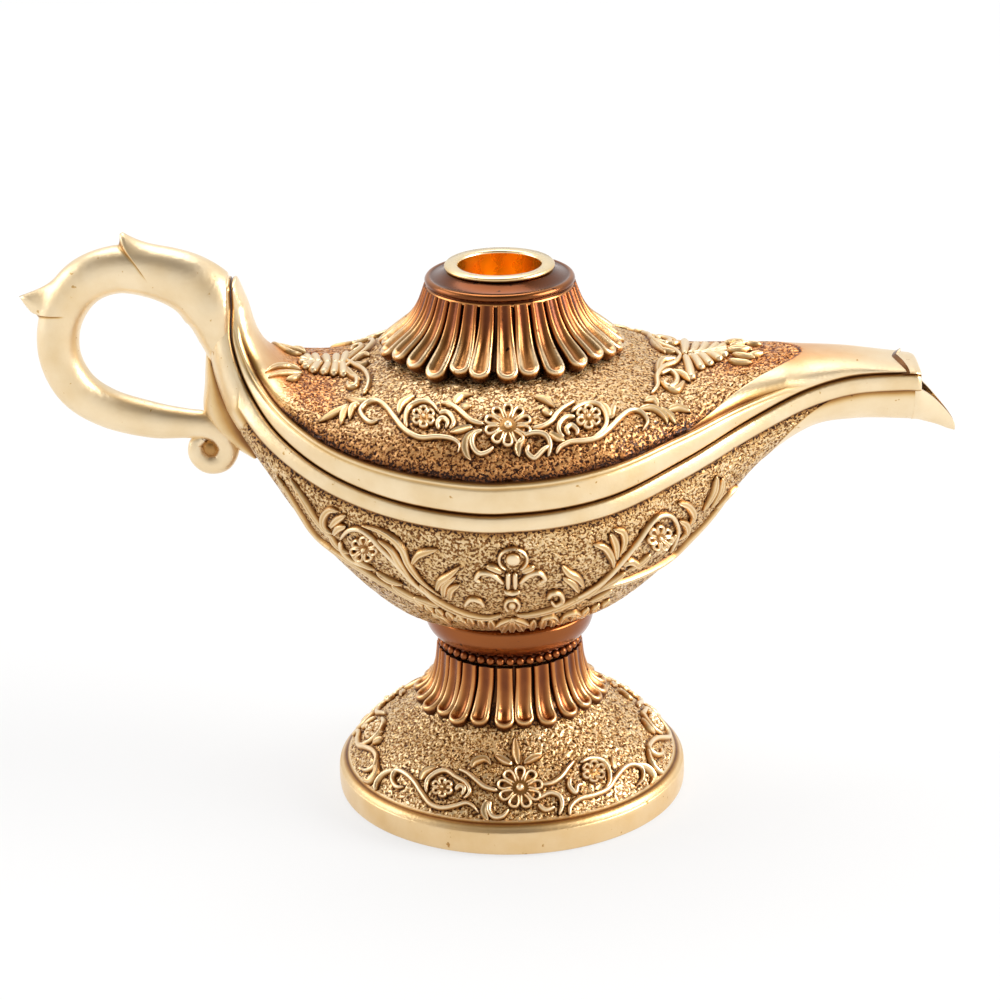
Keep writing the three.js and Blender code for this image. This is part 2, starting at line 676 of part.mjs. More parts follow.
function petalSkirt(profile, petals, bore, top) {
  const columns = petals * PETAL_COLUMNS.length;
  const loops = [];
  for (let j = 0; j < columns; j += 1) {
    const { relief, reach } = PETAL_COLUMNS[j % PETAL_COLUMNS.length];
    const angle = (j / columns) * 2 * Math.PI;
    const loop = [[bore, top]];
    for (let k = 0; k <= PETAL_ROWS; k += 1) {
      const f = (k / PETAL_ROWS) * reach;
      const [r, z] = spline(profile, f);
      loop.push([r + relief * Math.min(1, PETAL_FADE + f), z]);
    }
    const [tipR, tipZ] = loop[loop.length - 1];
    loop.push([tipR - PETAL_THICKNESS / 2, tipZ - PETAL_THICKNESS], [bore, tipZ - PETAL_THICKNESS]);
    loops.push(loop.map(([r, z]) => ringPoint(r, angle, z)));
  }
  return ringSolid(loops);
}

// Profile of a skirt from its top edge to its tips, as [share of the flare, share of the height] rows
function petalProfile(radius, flare, top, height, rows) {
  const fall = height - PETAL_THICKNESS;
  return rows.map(([out, down]) => [radius + out * flare, top - down * fall]);
}

// Crown on the lid: the petals flare from the boss down onto the dome
const CROWN_CURVE = [[0, 0], [0.15, 0.32], [0.37, 0.58], [0.7, 0.8], [1, 1]];

function makeCrown() {
  const profile = petalProfile(CROWN_TOP_RADIUS, CROWN_FLARE, BOSS_Z, CROWN_HEIGHT, CROWN_CURVE);
  const skirt = petalSkirt(profile, CROWN_PETALS, CROWN_BORE, BOSS_Z);
  return skirt.translate(CROWN_AXIS, 0, 0).subtract(lidGrown);
}

// Collar over the crown, as [inset from the widest radius in collar edges, share of the height] rows
const COLLAR_CURVE = [[1.5, 0], [0.3, 0.1], [0, 0.3], [0.6, 0.5], [2, 0.7], [4, 0.88]];

function makeCollar() {
  const top = COLLAR_Z + COLLAR_HEIGHT;
  const side = COLLAR_CURVE.map(([inset, up]) => {
    return [COLLAR_RADIUS - inset * COLLAR_EDGE, COLLAR_Z + up * COLLAR_HEIGHT];
  });
  return lathe([
    [CUP_BORE, COLLAR_Z],
    ...side,
    [CUP_FLANGE_RADIUS, top],
    [CUP_BORE, top],
    [CUP_BORE, COLLAR_Z],
  ]).translate(CROWN_AXIS, 0, 0);
}

// Flanged cup that holds the cone, with a smoke hole in its floor
function makeCup() {
  const top = CUP_Z + CUP_FLANGE;
  const floor = CUP_Z - CUP_DEPTH;
  const inner = CUP_RADIUS - CUP_WALL;
  const round = 0.4 * CUP_FLANGE;
  return lathe([
    [CUP_SMOKE_HOLE, floor],
    [CUP_RADIUS, floor],
    [CUP_RADIUS, CUP_Z],
    [CUP_FLANGE_RADIUS, CUP_Z],
    [CUP_FLANGE_RADIUS, top - round],
    [CUP_FLANGE_RADIUS - round, top],
    [inner + round, top],
    [inner, top - round],
    [inner, floor + CUP_WALL],
    [CUP_SMOKE_HOLE, floor + CUP_WALL],
    [CUP_SMOKE_HOLE, floor],
  ]).translate(CROWN_AXIS, 0, 0);
}

// Foot: plain edge band, sloped dome and neck, with a seat for the felt and a pocket for the nut
const FELT_SEAT = FELT_THICKNESS + SEAT_GAP;
const POCKET_Z = FELT_SEAT + NUT_HEIGHT + WASHER_THICKNESS + ROD_END + SEAT_GAP;

// Slopes of the foot from its shoulder to the neck's flare and on to the neck,
// as [share of the run, share of the rise] rows
const FOOT_SLOPE = [[0, 0], [0.246, 0.31], [0.602, 0.678], [1, 1]];
const NECK_SLOPE = [[0.463, 0.274], [0.829, 0.611], [1, 1]];

function footProfile(grow) {
  const shoulder = FOOT_RADIUS - FOOT_STEP;
  const z = FOOT_LIFT + FOOT_BAND;
  const flare = NECK_RADIUS + NECK_FLARE;
  const flareZ = FOOT_TOP - NECK_HEIGHT;
  const slopeRow = (r0, z0, r1, z1) => ([run, up]) => {
    return [THREE.MathUtils.lerp(r0, r1, run) + grow, THREE.MathUtils.lerp(z0, z1, up) + grow];
  };
  return [
    [FOOT_RADIUS - FOOT_ROUND + grow, FOOT_LIFT],
    [FOOT_RADIUS + grow, FOOT_LIFT + 0.4 * FOOT_BAND],
    [FOOT_RADIUS - FOOT_ROUND + grow, FOOT_LIFT + 0.75 * FOOT_BAND],
    [FOOT_RADIUS - 3 * FOOT_ROUND + grow, z + grow],
    ...FOOT_SLOPE.map(slopeRow(shoulder, z, flare, flareZ)),
    ...NECK_SLOPE.map(slopeRow(flare, flareZ, NECK_RADIUS, FOOT_TOP)),
  ];
}

// The foot's slope at a [degrees, share of the run] place
function footSlope([degrees, run]) {
  const next = Math.max(FOOT_SLOPE.findIndex(([share]) => share > run), 1);
  const [[run0, up0], [run1, up1]] = FOOT_SLOPE.slice(next - 1, next + 1);
  const up = THREE.MathUtils.mapLinear(run, run0, run1, up0, up1);
  const radius = THREE.MathUtils.lerp(FOOT_RADIUS - FOOT_STEP, NECK_RADIUS + NECK_FLARE, run);
  const z = THREE.MathUtils.lerp(FOOT_LIFT + FOOT_BAND, FOOT_TOP - NECK_HEIGHT, up);
  return ringPoint(radius, THREE.MathUtils.degToRad(degrees), z);
}

// Scrolls of the foot's front motif as [degrees, share of the run] rows, in the order of the lid's
const FOOT_SCROLLS = [
  [[-144, 0.08], [-146, 0.21], [-142, 0.31], [-130, 0.28], [-120, 0.1], [-111, 0.13], [-102, 0.08]],
  [[-123, 0.2], [-123, 0.47], [-114, 0.47], [-106, 0.31], [-108, 0.22]],
  [[-96, 0.34], [-105, 0.47], [-114, 0.57]],
  [[-98, 0.22], [-96, 0.08], [-92, 0.14]],
  [[-30, 0.08], [-34, 0.2], [-41, 0.32], [-53, 0.18], [-66, 0.16], [-71, 0.08]],
  [[-68, 0.34], [-59, 0.59], [-49, 0.52], [-51, 0.24], [-55, 0.17]],
  [[-79, 0.4], [-70, 0.47], [-62, 0.63]],
  [[-81, 0.23], [-73, 0.24], [-74, 0.08]],
];
const FOOT_FLOWER = [-87, 0.38];
const FOOT_BUDS = [[-118, 0.3], [-56, 0.43]];

function footOrnament() {
  const front = motif(footSlope, FOOT_SCROLLS, FOOT_FLOWER, FOOT_BUDS);
  const turns = Array.from({ length: FOOT_MOTIFS }, (_, k) => front.rotate([0, 0, (k / FOOT_MOTIFS) * 360]));
  return wasm.Manifold.union(turns);
}

function makeFoot() {
  return lathe([
    [ROD_HOLE, POCKET_Z],
    [POCKET_RADIUS, POCKET_Z],
    [POCKET_RADIUS, FELT_SEAT],
    [FELT_RADIUS + FIT_GAP, FELT_SEAT],
    [FELT_RADIUS + FIT_GAP, FOOT_LIFT],
    ...footProfile(0),
    [ROD_HOLE, FOOT_TOP],
    [ROD_HOLE, POCKET_Z],
  ]).add(footOrnament());
}

// Skirt of petals under the bead ring, round the neck
const SKIRT_CURVE = [[0, 0], [0.11, 0.42], [0.42, 0.79], [1, 1]];

function makeSkirt() {
  const radius = NECK_RADIUS + SKIRT_EDGE;
  const profile = petalProfile(radius, SKIRT_FLARE - SKIRT_EDGE, FOOT_TOP, SKIRT_HEIGHT, SKIRT_CURVE);
  const foot = lathe([[0, 0], ...footProfile(SEAT_GAP), [0, FOOT_TOP + SEAT_GAP]]);
  return petalSkirt(profile, SKIRT_PETALS, NECK_RADIUS - CUT_PAST, FOOT_TOP).subtract(foot);
}

function makeBeadRing() {
  const columns = BEAD_COUNT * 2;
  const loops = [];
  const top = BEAD_Z + BEAD_RING_HEIGHT;
  for (let j = 0; j < columns; j += 1) {
    const bulge = j % 2 ? BEAD_SIZE : BEAD_DIP;
    const rows = [
      [ROD_HOLE, BEAD_Z],
      [BEAD_CORE_RADIUS, BEAD_Z],
      [BEAD_CORE_RADIUS + bulge, (BEAD_Z + top) / 2],
      [BEAD_CORE_RADIUS, top],
      [ROD_HOLE, top],
    ];
    loops.push(rows.map(([r, z]) => ringPoint(r, (j / columns) * 2 * Math.PI, z)));
  }
  return ringSolid(loops);
}

// Stem ring: a quarter round that swells from the bead ring up to a plain edge under the bowl
const STEM_EDGE_SHARE = 0.2;

function makeStemRing() {
  const top = STEM_Z + STEM_RING_HEIGHT;
  const rows = [[ROD_HOLE, STEM_Z]];
  for (let k = 0; k <= STEM_STEPS; k += 1) {
    const turn = (k / STEM_STEPS) * (Math.PI / 2);
    const r = THREE.MathUtils.lerp(BEAD_CORE_RADIUS, STEM_RING_RADIUS, Math.sin(turn));
    rows.push([r, STEM_Z + STEM_RING_HEIGHT * (1 - STEM_EDGE_SHARE) * (1 - Math.cos(turn))]);
  }
  rows.push([STEM_RING_RADIUS - BAND_EDGE, top], [ROD_HOLE, top], [ROD_HOLE, STEM_Z]);
  return lathe(rows);
}

// A tube along [x, z, radius] rows in the plane of the handle; the flattening is its width across
function planeTube(path, steps, flatten, sides = TUBE_SIDES) {
  const loops = [];
  const near = 0.005;
  for (let i = 0; i <= steps; i += 1) {
    const t = i / steps;
    const [x, z, r] = spline(path, t);
    const [ax, az] = spline(path, t - near);
    const [bx, bz] = spline(path, t + near);
    const run = new THREE.Vector2(bx - ax, bz - az).normalize();
    const loop = [];
    for (let k = 0; k < sides; k += 1) {
      const turn = (k / sides) * 2 * Math.PI;
      const out = r * Math.cos(turn);
      loop.push(new THREE.Vector3(x - run.y * out, r * flatten * Math.sin(turn), z + run.x * out));
    }
    loops.push(loop);
  }
  return loftSolid(loops);
}

// Handle: lines that its pieces are set out from
const STERN_X = -TAIL_REACH - STERN_DEPTH;
const BEND_X = -TAIL_REACH - HANDLE_REACH;
const TOP_Z = RIM_Z + HANDLE_RISE;
const ARM_Z = RIM_Z + HANDLE_LOW;
const MID_Z = (TOP_Z + ARM_Z) / 2;
const CURL_X = STERN_X - 0.2;
const CURL_Z = ARM_Z - 5.6;

// Loop of the handle from the upper end of the sternpost round to its lower arm, as [x, z, radius] rows
const HANDLE_PATH = [
  [STERN_X + 2.8, TOP_Z - 15.8, HANDLE_ROOT_RADIUS - 2.6],
  [STERN_X + 1.2, TOP_Z - 9.8, HANDLE_ROOT_RADIUS - 1],
  [STERN_X - 2.6, TOP_Z - 4.5, HANDLE_ROOT_RADIUS],
  [STERN_X - 10.5, TOP_Z - 0.7, HANDLE_ROOT_RADIUS - 0.6],
  [STERN_X - 18.5, TOP_Z, HANDLE_RADIUS + 0.6],
  [BEND_X + 5.4, TOP_Z - 3, HANDLE_RADIUS + 0.4],
  [BEND_X + 0.9, MID_Z + 6.8, HANDLE_RADIUS + 0.1],
  [BEND_X, MID_Z - 1.2, HANDLE_RADIUS],
  [BEND_X + 3, MID_Z - 8.4, HANDLE_RADIUS],
  [BEND_X + 9.2, ARM_Z + 3.6, HANDLE_RADIUS - 0.2],
  [BEND_X + 17.9, ARM_Z + 0.9, HANDLE_RADIUS - 0.5],
  [STERN_X - 4.5, ARM_Z + 0.4, HANDLE_RADIUS - 0.9],
  [STERN_X + 2, ARM_Z - 0.8, HANDLE_RADIUS - 0.9],
];

// Leaf barbs on the top and on the outer bend
const BARBS = [
  [
    [STERN_X - 8, TOP_Z + 0.6, HANDLE_RADIUS - 0.3],
    [STERN_X - 12.6, TOP_Z + 3.8, HANDLE_RADIUS - 1.3],
    [STERN_X - 15.9, TOP_Z + 8, BARB_POINT],
  ],
  [
    [BEND_X + 4.6, TOP_Z - 5.2, HANDLE_RADIUS - 0.4],
    [BEND_X - 1.6, TOP_Z - 6.6, HANDLE_RADIUS - 1.7],
    [BEND_X - 6, TOP_Z - 6.2, BARB_POINT],
  ],
];

function curlPath() {
  const path = [];
  for (let i = 0; i <= CURL_STEPS; i += 1) {
    const turn = THREE.MathUtils.degToRad(CURL_START - CURL_TURN * (i / CURL_STEPS));
    path.push([CURL_X + CURL_RADIUS * Math.cos(turn), CURL_Z + CURL_RADIUS * Math.sin(turn), CURL_TUBE]);
  }
  return path;
}

// Strap that carries the handle down the sternpost, drawn in the side view
function handleStrap() {
  const side = new THREE.Shape();
  side.moveTo(STERN_X - 0.9, ARM_Z + 14);
  side.quadraticCurveTo(STERN_X - 2.2, ARM_Z + 6.4, STERN_X - 0.6, ARM_Z - 1.2);
  side.lineTo(STERN_X + 2.4, ARM_Z - 4);
  side.quadraticCurveTo(STERN_X + 3.6, ARM_Z - 8.2, STERN_X + 6.4, ARM_Z - 9);
  side.lineTo(STERN_X + 9, ARM_Z - 7);
  side.lineTo(STERN_X + 9, ARM_Z + 4.4);
  side.lineTo(STERN_X + 2.5, ARM_Z + 14);
  const options = { depth: 2 * STRAP_HALF_WIDTH, bevelEnabled: false, curveSegments: STRAP_STEPS };
  const geometry = new THREE.ExtrudeGeometry(side, options);
  geometry.rotateX(Math.PI / 2);
  return toSolid(moved(geometry, 0, STRAP_HALF_WIDTH, 0));
}

// Blind dowels between the handle and the sternpost, one in each arm
const DOWEL_SPOTS = [[STERN_X - 0.6, TOP_Z - 8], [STERN_X + 2, ARM_Z + 0.4]];

function dowel([x, z], grow) {
  const radius = DOWEL_RADIUS + grow;
  const geometry = new THREE.CylinderGeometry(radius, radius, DOWEL_LENGTH + 2 * grow, SMALL_STEPS);
  geometry.rotateZ(Math.PI / 2);
  return toSolid(moved(geometry, x, 0, z));
}

function drilled(solid) {
  return DOWEL_SPOTS.reduce((left, spot) => left.subtract(dowel(spot, SEAT_GAP)), solid);
}

// Room for the lid's tail, above the lower arm
function aheadOfTail() {
  const size = 2 * HALF_BEAM;
  const block = new THREE.BoxGeometry(size, size, size);
  const low = ARM_Z + HANDLE_RADIUS;
  return toSolid(moved(block, size / 2 - TAIL_REACH - SEAT_GAP, 0, size / 2 + low));
}

function makeHandle() {
  const loop = planeTube(HANDLE_PATH, HANDLE_STEPS, HANDLE_FLATTEN);
  const barbs = BARBS.map((path) => planeTube(path, BARB_STEPS, HANDLE_FLATTEN));
  const curl = planeTube(curlPath(), CURL_STEPS, CURL_HALF_WIDTH / CURL_TUBE);
  return [...barbs, curl, handleStrap()]
    .reduce((whole, piece) => whole.add(piece), loop)
    .subtract(bowlGrown)
    .subtract(aheadOfTail());
}

// Nuts and washers of the tie rod
const LOW_WASHER_Z = POCKET_Z - SEAT_GAP - WASHER_THICKNESS;
const LOW_NUT_Z = LOW_WASHER_Z - SEAT_GAP - NUT_HEIGHT;
const HIGH_WASHER_Z = FLOOR_Z + SEAT_GAP;
const HIGH_NUT_Z = HIGH_WASHER_Z + WASHER_THICKNESS + SEAT_GAP;

function pierced(solid, z, height) {
  return solid.subtract(post(WASHER_HOLE, z - CUT_PAST, z + height + CUT_PAST, 0, SMALL_STEPS));
}

function washer(z) {
  return pierced(post(WASHER_RADIUS, z, z + WASHER_THICKNESS), z, WASHER_THICKNESS);
}

function nut(z) {
  return pierced(post(NUT_RADIUS, z, z + NUT_HEIGHT, 0, NUT_SIDES), z, NUT_HEIGHT);
}

function makeRod() {
  return post(ROD_RADIUS, LOW_NUT_Z - ROD_END, HIGH_NUT_Z + NUT_HEIGHT + ROD_END, 0, SMALL_STEPS);
}

// Finishes
const paleGold = { color: 0xd9bf85, roughness: 0.42, metalness: 0.75 };
const antiqueGold = { color: 0xb08a45, roughness: 0.5, metalness: 0.7 };
const copper = { color: 0x96572a, roughness: 0.35, metalness: 0.8 };
const brass = { color: 0xe0a63c, roughness: 0.2, metalness: 1 };
const felt = { color: 0x2b2320, roughness: 0.95, metalness: 0 };
const steel = { color: 0x9a9a9a, roughness: 0.35, metalness: 1 };

const lamp = new THREE.Group();

function place(name, solid, finish) {
  const mesh = new THREE.Mesh(toGeometry(solid), new THREE.MeshStandardMaterial(finish));
  mesh.name = name;
  lamp.add(mesh);
}

place('base_felt', post(FELT_RADIUS, 0, FELT_THICKNESS), felt);
place('foot', makeFoot(), antiqueGold);
place('foot_petal_skirt', makeSkirt(), copper);
place('bead_ring', makeBeadRing(), copper);
place('stem_ring', makeStemRing(), copper);
place('bowl', drilled(makeBowl()), antiqueGold);
place('handle', drilled(makeHandle()), paleGold);
place('handle_dowel_upper', dowel(DOWEL_SPOTS[0], 0), steel);
place('handle_dowel_lower', dowel(DOWEL_SPOTS[1], 0), steel);
place('tie_rod', makeRod(), steel);
place('lower_washer', washer(LOW_WASHER_Z), steel);
place('lower_nut', nut(LOW_NUT_Z), steel);
place('upper_washer', washer(HIGH_WASHER_Z), steel);
place('upper_nut', nut(HIGH_NUT_Z), steel);
place('lid', makeLid(), antiqueGold);
place('lid_crown', makeCrown(), copper);
place('lid_collar', makeCollar(), copper);
place('cone_cup', makeCup(), brass);

export default lamp;
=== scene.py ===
"""Looks of a backflow incense burner in the form of an oil lamp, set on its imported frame."""
import math

import bmesh
import bpy
import numpy as np
from mathutils import Matrix, Vector, noise
from mathutils.bvhtree import BVHTree
from mathutils.kdtree import KDTree


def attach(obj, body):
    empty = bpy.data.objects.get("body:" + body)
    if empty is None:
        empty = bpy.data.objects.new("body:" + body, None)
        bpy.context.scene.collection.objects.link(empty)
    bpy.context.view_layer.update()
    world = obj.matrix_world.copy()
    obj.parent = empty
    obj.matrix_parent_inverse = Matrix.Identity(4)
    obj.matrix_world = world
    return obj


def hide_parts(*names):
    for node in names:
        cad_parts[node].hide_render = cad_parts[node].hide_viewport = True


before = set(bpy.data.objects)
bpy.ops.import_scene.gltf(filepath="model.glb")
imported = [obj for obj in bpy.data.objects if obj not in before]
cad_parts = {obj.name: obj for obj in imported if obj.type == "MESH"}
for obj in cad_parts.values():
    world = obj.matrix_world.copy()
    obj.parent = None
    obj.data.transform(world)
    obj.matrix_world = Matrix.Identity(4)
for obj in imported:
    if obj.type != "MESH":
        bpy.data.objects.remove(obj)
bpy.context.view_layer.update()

# Lengths are in millimetres; those of the floor, the lamps and the bumps of materials are in metres
MM = 0.001

# Camera, as the picture was taken; the picture is square and its middle is PICTURE / 2
CAMERA_AT = np.array([-1.49, -580.0, 289.6])
CAMERA_PITCH = math.radians(21.24)
CAMERA_ROLL = math.radians(1.08)
FOCAL_PIXELS = 2985.0
PICTURE = 1000.0
SENSOR = 36.0
RIGHT = np.array([1.0, 0.0, 0.0])
AHEAD = np.array([0.0, math.cos(CAMERA_PITCH), -math.sin(CAMERA_PITCH)])
UP = np.cross(RIGHT, AHEAD)
ACROSS = math.cos(CAMERA_ROLL) * RIGHT - math.sin(CAMERA_ROLL) * UP
ALOFT = math.sin(CAMERA_ROLL) * RIGHT + math.cos(CAMERA_ROLL) * UP

# How meshes are made
PAINTS = ("tone", "warm", "pits")
TINY = 1e-9
MERGE = 1e-6
SHARP = math.radians(65)
FINE_STEPS = 2000
CURVE_ROWS = 200
TURN_COLUMNS = 160

# Lines of the lamp's body: along, beam, rim rise, dome, depth, ridge shift, keel shift, lid band
SEAT_GAP = 0.3
TAIL_REACH = 55.0
NOSE_REACH = 80.5
HALF_BEAM = 41.2
HULL_DEPTH = 38.1
DOME_RISE = 24.3
TAIL_RISE = 36.4
NOSE_RISE = 16.0
STERN_DEPTH = 5.0
RIM_Z = 76.9
BOWL_Z = 41.8
MIDDLE = 7
MOUTH_REACH = 4.2
LINES = [
    [-1, 0.053, 1, 0.016, -0.02, 0.2, -0.4, 0.14],
    [-1, 0.1, 0.863, 0.008, 0.031, 0.62, -0.92, 0.23],
    [-1, 0.165, 0.675, 0.03, 0.076, 0.96, -1.04, 0.31],
    [-0.942, 0.27, 0.445, 0.195, 0.13, 0.88, -1.2, 0.47],
    [-0.818, 0.49, 0.256, 0.378, 0.275, 0.56, -1.1, 0.69],
    [-0.609, 0.725, 0.107, 0.568, 0.605, 0.3, -0.9, 0.84],
    [-0.327, 0.93, 0.028, 0.865, 0.945, 0.16, -0.4, 0.97],
    [0, 1, 0, 1, 1, 0, 0, 1],
    [0.236, 0.903, 0.0875, 0.845, 0.932, -0.12, 0.2, 0.97],
    [0.435, 0.65, 0.325, 0.53, 0.665, -0.12, 0.6, 0.81],
    [0.602, 0.408, 0.6, 0.395, 0.37, -0.1, 0.6, 0.59],
    [0.745, 0.272, 0.85, 0.23, 0.28, 0, 0.4, 0.31],
    [0.87, 0.2, 0.972, 0.13, 0.294, 0, 0.3, 0.16],
    [1, 0.165, 0.981, 0.06, 0.307, -0.1, 0.2, 0.11],
    [1 + MOUTH_REACH / NOSE_REACH, 0.158, 0.96, 0.05, 0.307, 0, 0.1, 0.11],
]
LAST = len(LINES) - 1
LID_BAND = 6.4
BOWL_BAND = 3.6
BAND_SHARE = 0.8
BAND_BULGE = 0.45
BAND_EDGE = 0.32
BAND_ROUND = 0.3
TAIL_BAND_SHARE = 0.2
TAIL_HALF = 4.2
BEAD_WIDTH = 1.0
BEAD_GROOVE = 0.24
PANEL_INSET = 1.1
TAIL_TIP = 0.4
LID_EDGE_STATIONS = (1.1, 11.2)
BOWL_EDGE_STATIONS = (2.8, 15.2)
EDGE_FADE = 1.4
BOWL_EDGE_FADE = 0.7
WALL = 3.0
FLOOR = 7.2
SPOUT_FLOOR = 2.6
LID_ROOF = 3.2
LIP_DEPTH = 2.2
LIP_WALL = 1.6
LIP_GAP = 0.4
LIP_STATIONS = (4.0, 10.2)
HOLLOW_STATIONS = (4.3, 9.8)
CHAMBER_STATIONS = (2.9, 15.0)
STATION_FADE = 0.35
CHAMBER_FADE = 1.1
LID_END = 79.8
LID_SLANT = 0.28
LID_LAST = 13.45
BOWL_LAST = 13.6
STATION_STEP = 0.01
TAIL_CLIP = 0.995
THINNEST = 0.02
SHALLOWEST = 0.1
FLOOR_BEAM = (0.25, 0.95)
BULGE_HALF = 4.0
BAND_TUCK = 0.98
HAIR = 0.01

# How finely the body is drawn
PANEL_ROWS = 335
PANEL_COLUMNS = 250
INNER_COLUMNS = 22
BAND_ROWS = 31
TRACE_ROWS = 90
TRACE_COLUMNS = 70

# Hammered ground
PIT = 0.85
PIT_DEPTH = 0.34
PIT_EDGE = (0.2, 0.6)
GROUND_RECESS = 0.25
GROUND_EDGE = 0.9
GROUND_LEAST = 0.02
LID_NOSE_LOW = 36.0
LID_NOSE_HIGH = 61.0
LID_TAIL = -47.0
LID_TAIL_FADE = 7.0
BOWL_NOSE_LOW = 68.0
BOWL_NOSE_DROP = 16.0
BOWL_NOSE_POWER = 0.7
BOWL_NOSE_FADE = 1.2
BOWL_TAIL = -54.5
BOWL_TAIL_FADE = 1.5
BOWL_TAIL_SLOPE = 0.8
BOWL_TAIL_Z = 85.0

# Tones of the body, from 0 for dark to 1 for bright, and how much its lines and hollows take from them; the
# darkening at the seam, the band edges, the groove, the seat, the hollows, beside strokes and under the
# bands is painted shade
PLAIN_TONE = 0.95
BAND_TONE = 0.9
SEAT_SHADE = 0.3
HOLLOW_TONE = 0.25
SEAM_SHADE = 0.7
PANEL_EDGE_SHADE = 0.65
GROOVE_SHADE = 0.35
GROUND_TONE = 0.62
GROUND_GAIN = 0.26
HALO = 0.7
HALO_SHADE = 0.35
STROKE_COVER = 0.8
NOSE_LINE = 0.6
PANEL_LINE = 0.75
PANEL_SHADE = 1.2
LID_LOW_SHADE = 0.2
LID_LOW_CLIMB = (0.6, 0.15)
LID_WARM_SHADE = 0.1

# Copper on the body: shares, and where along X and up the panel it begins and ends
GROUND_COPPER = 0.2
LOW_COPPER = 0.45
LOW_CLIMB = (0.75, 0.1)
RIDGE_START = (34.0, 50.0)
RIDGE_END = (80.0, 58.0)
RIDGE_CLIMB = (0.6, 0.95)
SADDLE_START = (-52.0, -46.0)
SADDLE_END = (-30.0, -38.0)
SADDLE_CLIMB = (0.4, 0.75)
BOWL_COPPER = 0.12

# How far from the camera a surface is looked for, and how far it may turn away
NEAREST = 530.0
FARTHEST = 700.0
REACH_STEPS = 86
FACING = 0.1

# Raised strokes: half widths at the start, middle and end, height and depth of the crease
STEM = ((0.55, 0.66, 0.4), 0.95, 0.0)
VINE = ((0.5, 1.05, 0.45), 1.0, 0.35)
LEAF = ((0.3, 1.0, 0.12), 0.95, 0.38)
PETAL = ((0.4, 0.42, 0.4), 0.9, 0.0)
RIB = ((0.75, 1.05, 1.2), 1.1, 0.0)
RIB_LIMIT = (np.inf, -0.6, np.inf)
STROKE_STEP = 0.35
STROKE_LEAST = 7
STROKE_ROUND = 10
STROKE_THIN = 0.05
STROKE_UNDER = 0.1
STROKE_CREST = 3
STROKE_WARM = 0.12
STROKE_SINK = 0.7
STROKE_SIDES = (-1.0, -0.86, -0.5, 0.0, 0.5, 0.86, 1.0)
STROKE_RISE = (-0.4, 0.35, 0.82, 1.0, 0.82, 0.35, -0.4)
# Tone across a stroke: a painted highlight on its crest and painted shade down its flanks
STROKE_HIGHLIGHT_AND_SHADE = (0.1, 0.5, 0.95, 1.0, 0.95, 0.5, 0.1)

# Parts of a flower: size, height and tone of its domes, and one petal as reach and lean
BALL_START = 0.08
BALL_ROWS = 7
BALL_COLUMNS = 20
BALL_FALL = 0.9
BALL_POWER = 6
BUTTON = (0.62, 1.0, 1.0)
BUTTON_RING = np.linspace(-1.1, 4.24, 12)
FLOWER_DISH = (0.9, 0.35, 0.42)
FLOWER_EYE = (0.22, 1.25, 1.0)
FLOWER_LOOP = [(0.34, -0.35), (0.7, -0.78), (0.93, -0.55), (1.0, 0), (0.93, 0.55), (0.7, 0.78), (0.34, 0.35)]

# Scrolls on the lid, in pixels of the picture
LID_STEMS = [
    [(378, 421), (371, 423), (364, 418), (361, 411), (369, 403), (379, 402), (387, 408), (395, 418),
     (403, 428), (411, 434), (422, 438), (436, 437), (448, 438), (456, 441), (460, 446), (458, 453)],
    [(407, 428), (406, 418), (409, 409), (416, 404), (425, 402), (433, 405), (439, 413)],
    [(439, 415), (446, 413), (452, 417), (454, 424), (450, 430)],
    [(439, 430), (438, 423), (443, 419), (448, 423), (446, 429)],
    [(484, 425), (473, 422), (465, 416), (457, 409), (449, 405), (441, 404)],
    [(483, 431), (475, 434), (472, 441), (474, 449), (480, 454), (488, 452), (494, 447)],
    [(532, 429), (542, 427), (551, 422), (557, 414), (564, 408), (575, 402)],
    [(571, 413), (579, 407), (589, 404), (599, 406), (605, 414), (606, 424), (601, 432), (592, 438)],
    [(575, 418), (566, 418), (559, 425), (559, 433), (564, 438)],
    [(569, 436), (566, 430), (571, 426), (577, 431), (576, 436)],
    [(556, 454), (560, 447), (571, 442), (584, 441), (597, 438), (608, 430), (619, 419), (628, 412),
     (637, 411), (644, 416), (647, 423), (642, 431)],
    [(523, 436), (536, 433), (546, 436), (550, 445), (548, 457)],
    [(549, 446), (542, 451), (534, 458), (527, 452), (529, 445)],
]
LID_LEAVES = [
    [(399, 415), (401, 406), (407, 400), (415, 396)],
    [(454, 406), (457, 400), (462, 396), (472, 395)],
    [(462, 411), (465, 407), (472, 406)],
    [(445, 401), (454, 408)],
    [(473, 427), (461, 430), (450, 433)],
    [(476, 431), (468, 437), (465, 446), (467, 455), (471, 460)],
    [(368, 401), (358, 402), (347, 399)],
    [(361, 404), (353, 408), (350, 420)],
    [(349, 405), (344, 413), (341, 425)],
    [(348, 407), (336, 413), (319, 422)],
    [(608, 420), (606, 410), (601, 404)],
    [(611, 419), (612, 411), (614, 405)],
    [(638, 410), (649, 408), (658, 411), (665, 418), (667, 424)],
    [(659, 409), (669, 415), (675, 424)],
    [(644, 402), (653, 400), (658, 407)],
    [(667, 411), (678, 408), (690, 412)],
    [(534, 397), (545, 400), (555, 408)],
    [(542, 410), (552, 416)],
    [(548, 433), (557, 438), (565, 442)],
    [(524, 438), (518, 447), (519, 457)],
]
LID_FLOWERS = [(508, 426, 23, 20, 10), (424, 418, 11, 10, 6), (588, 418, 12, 11, 6)]

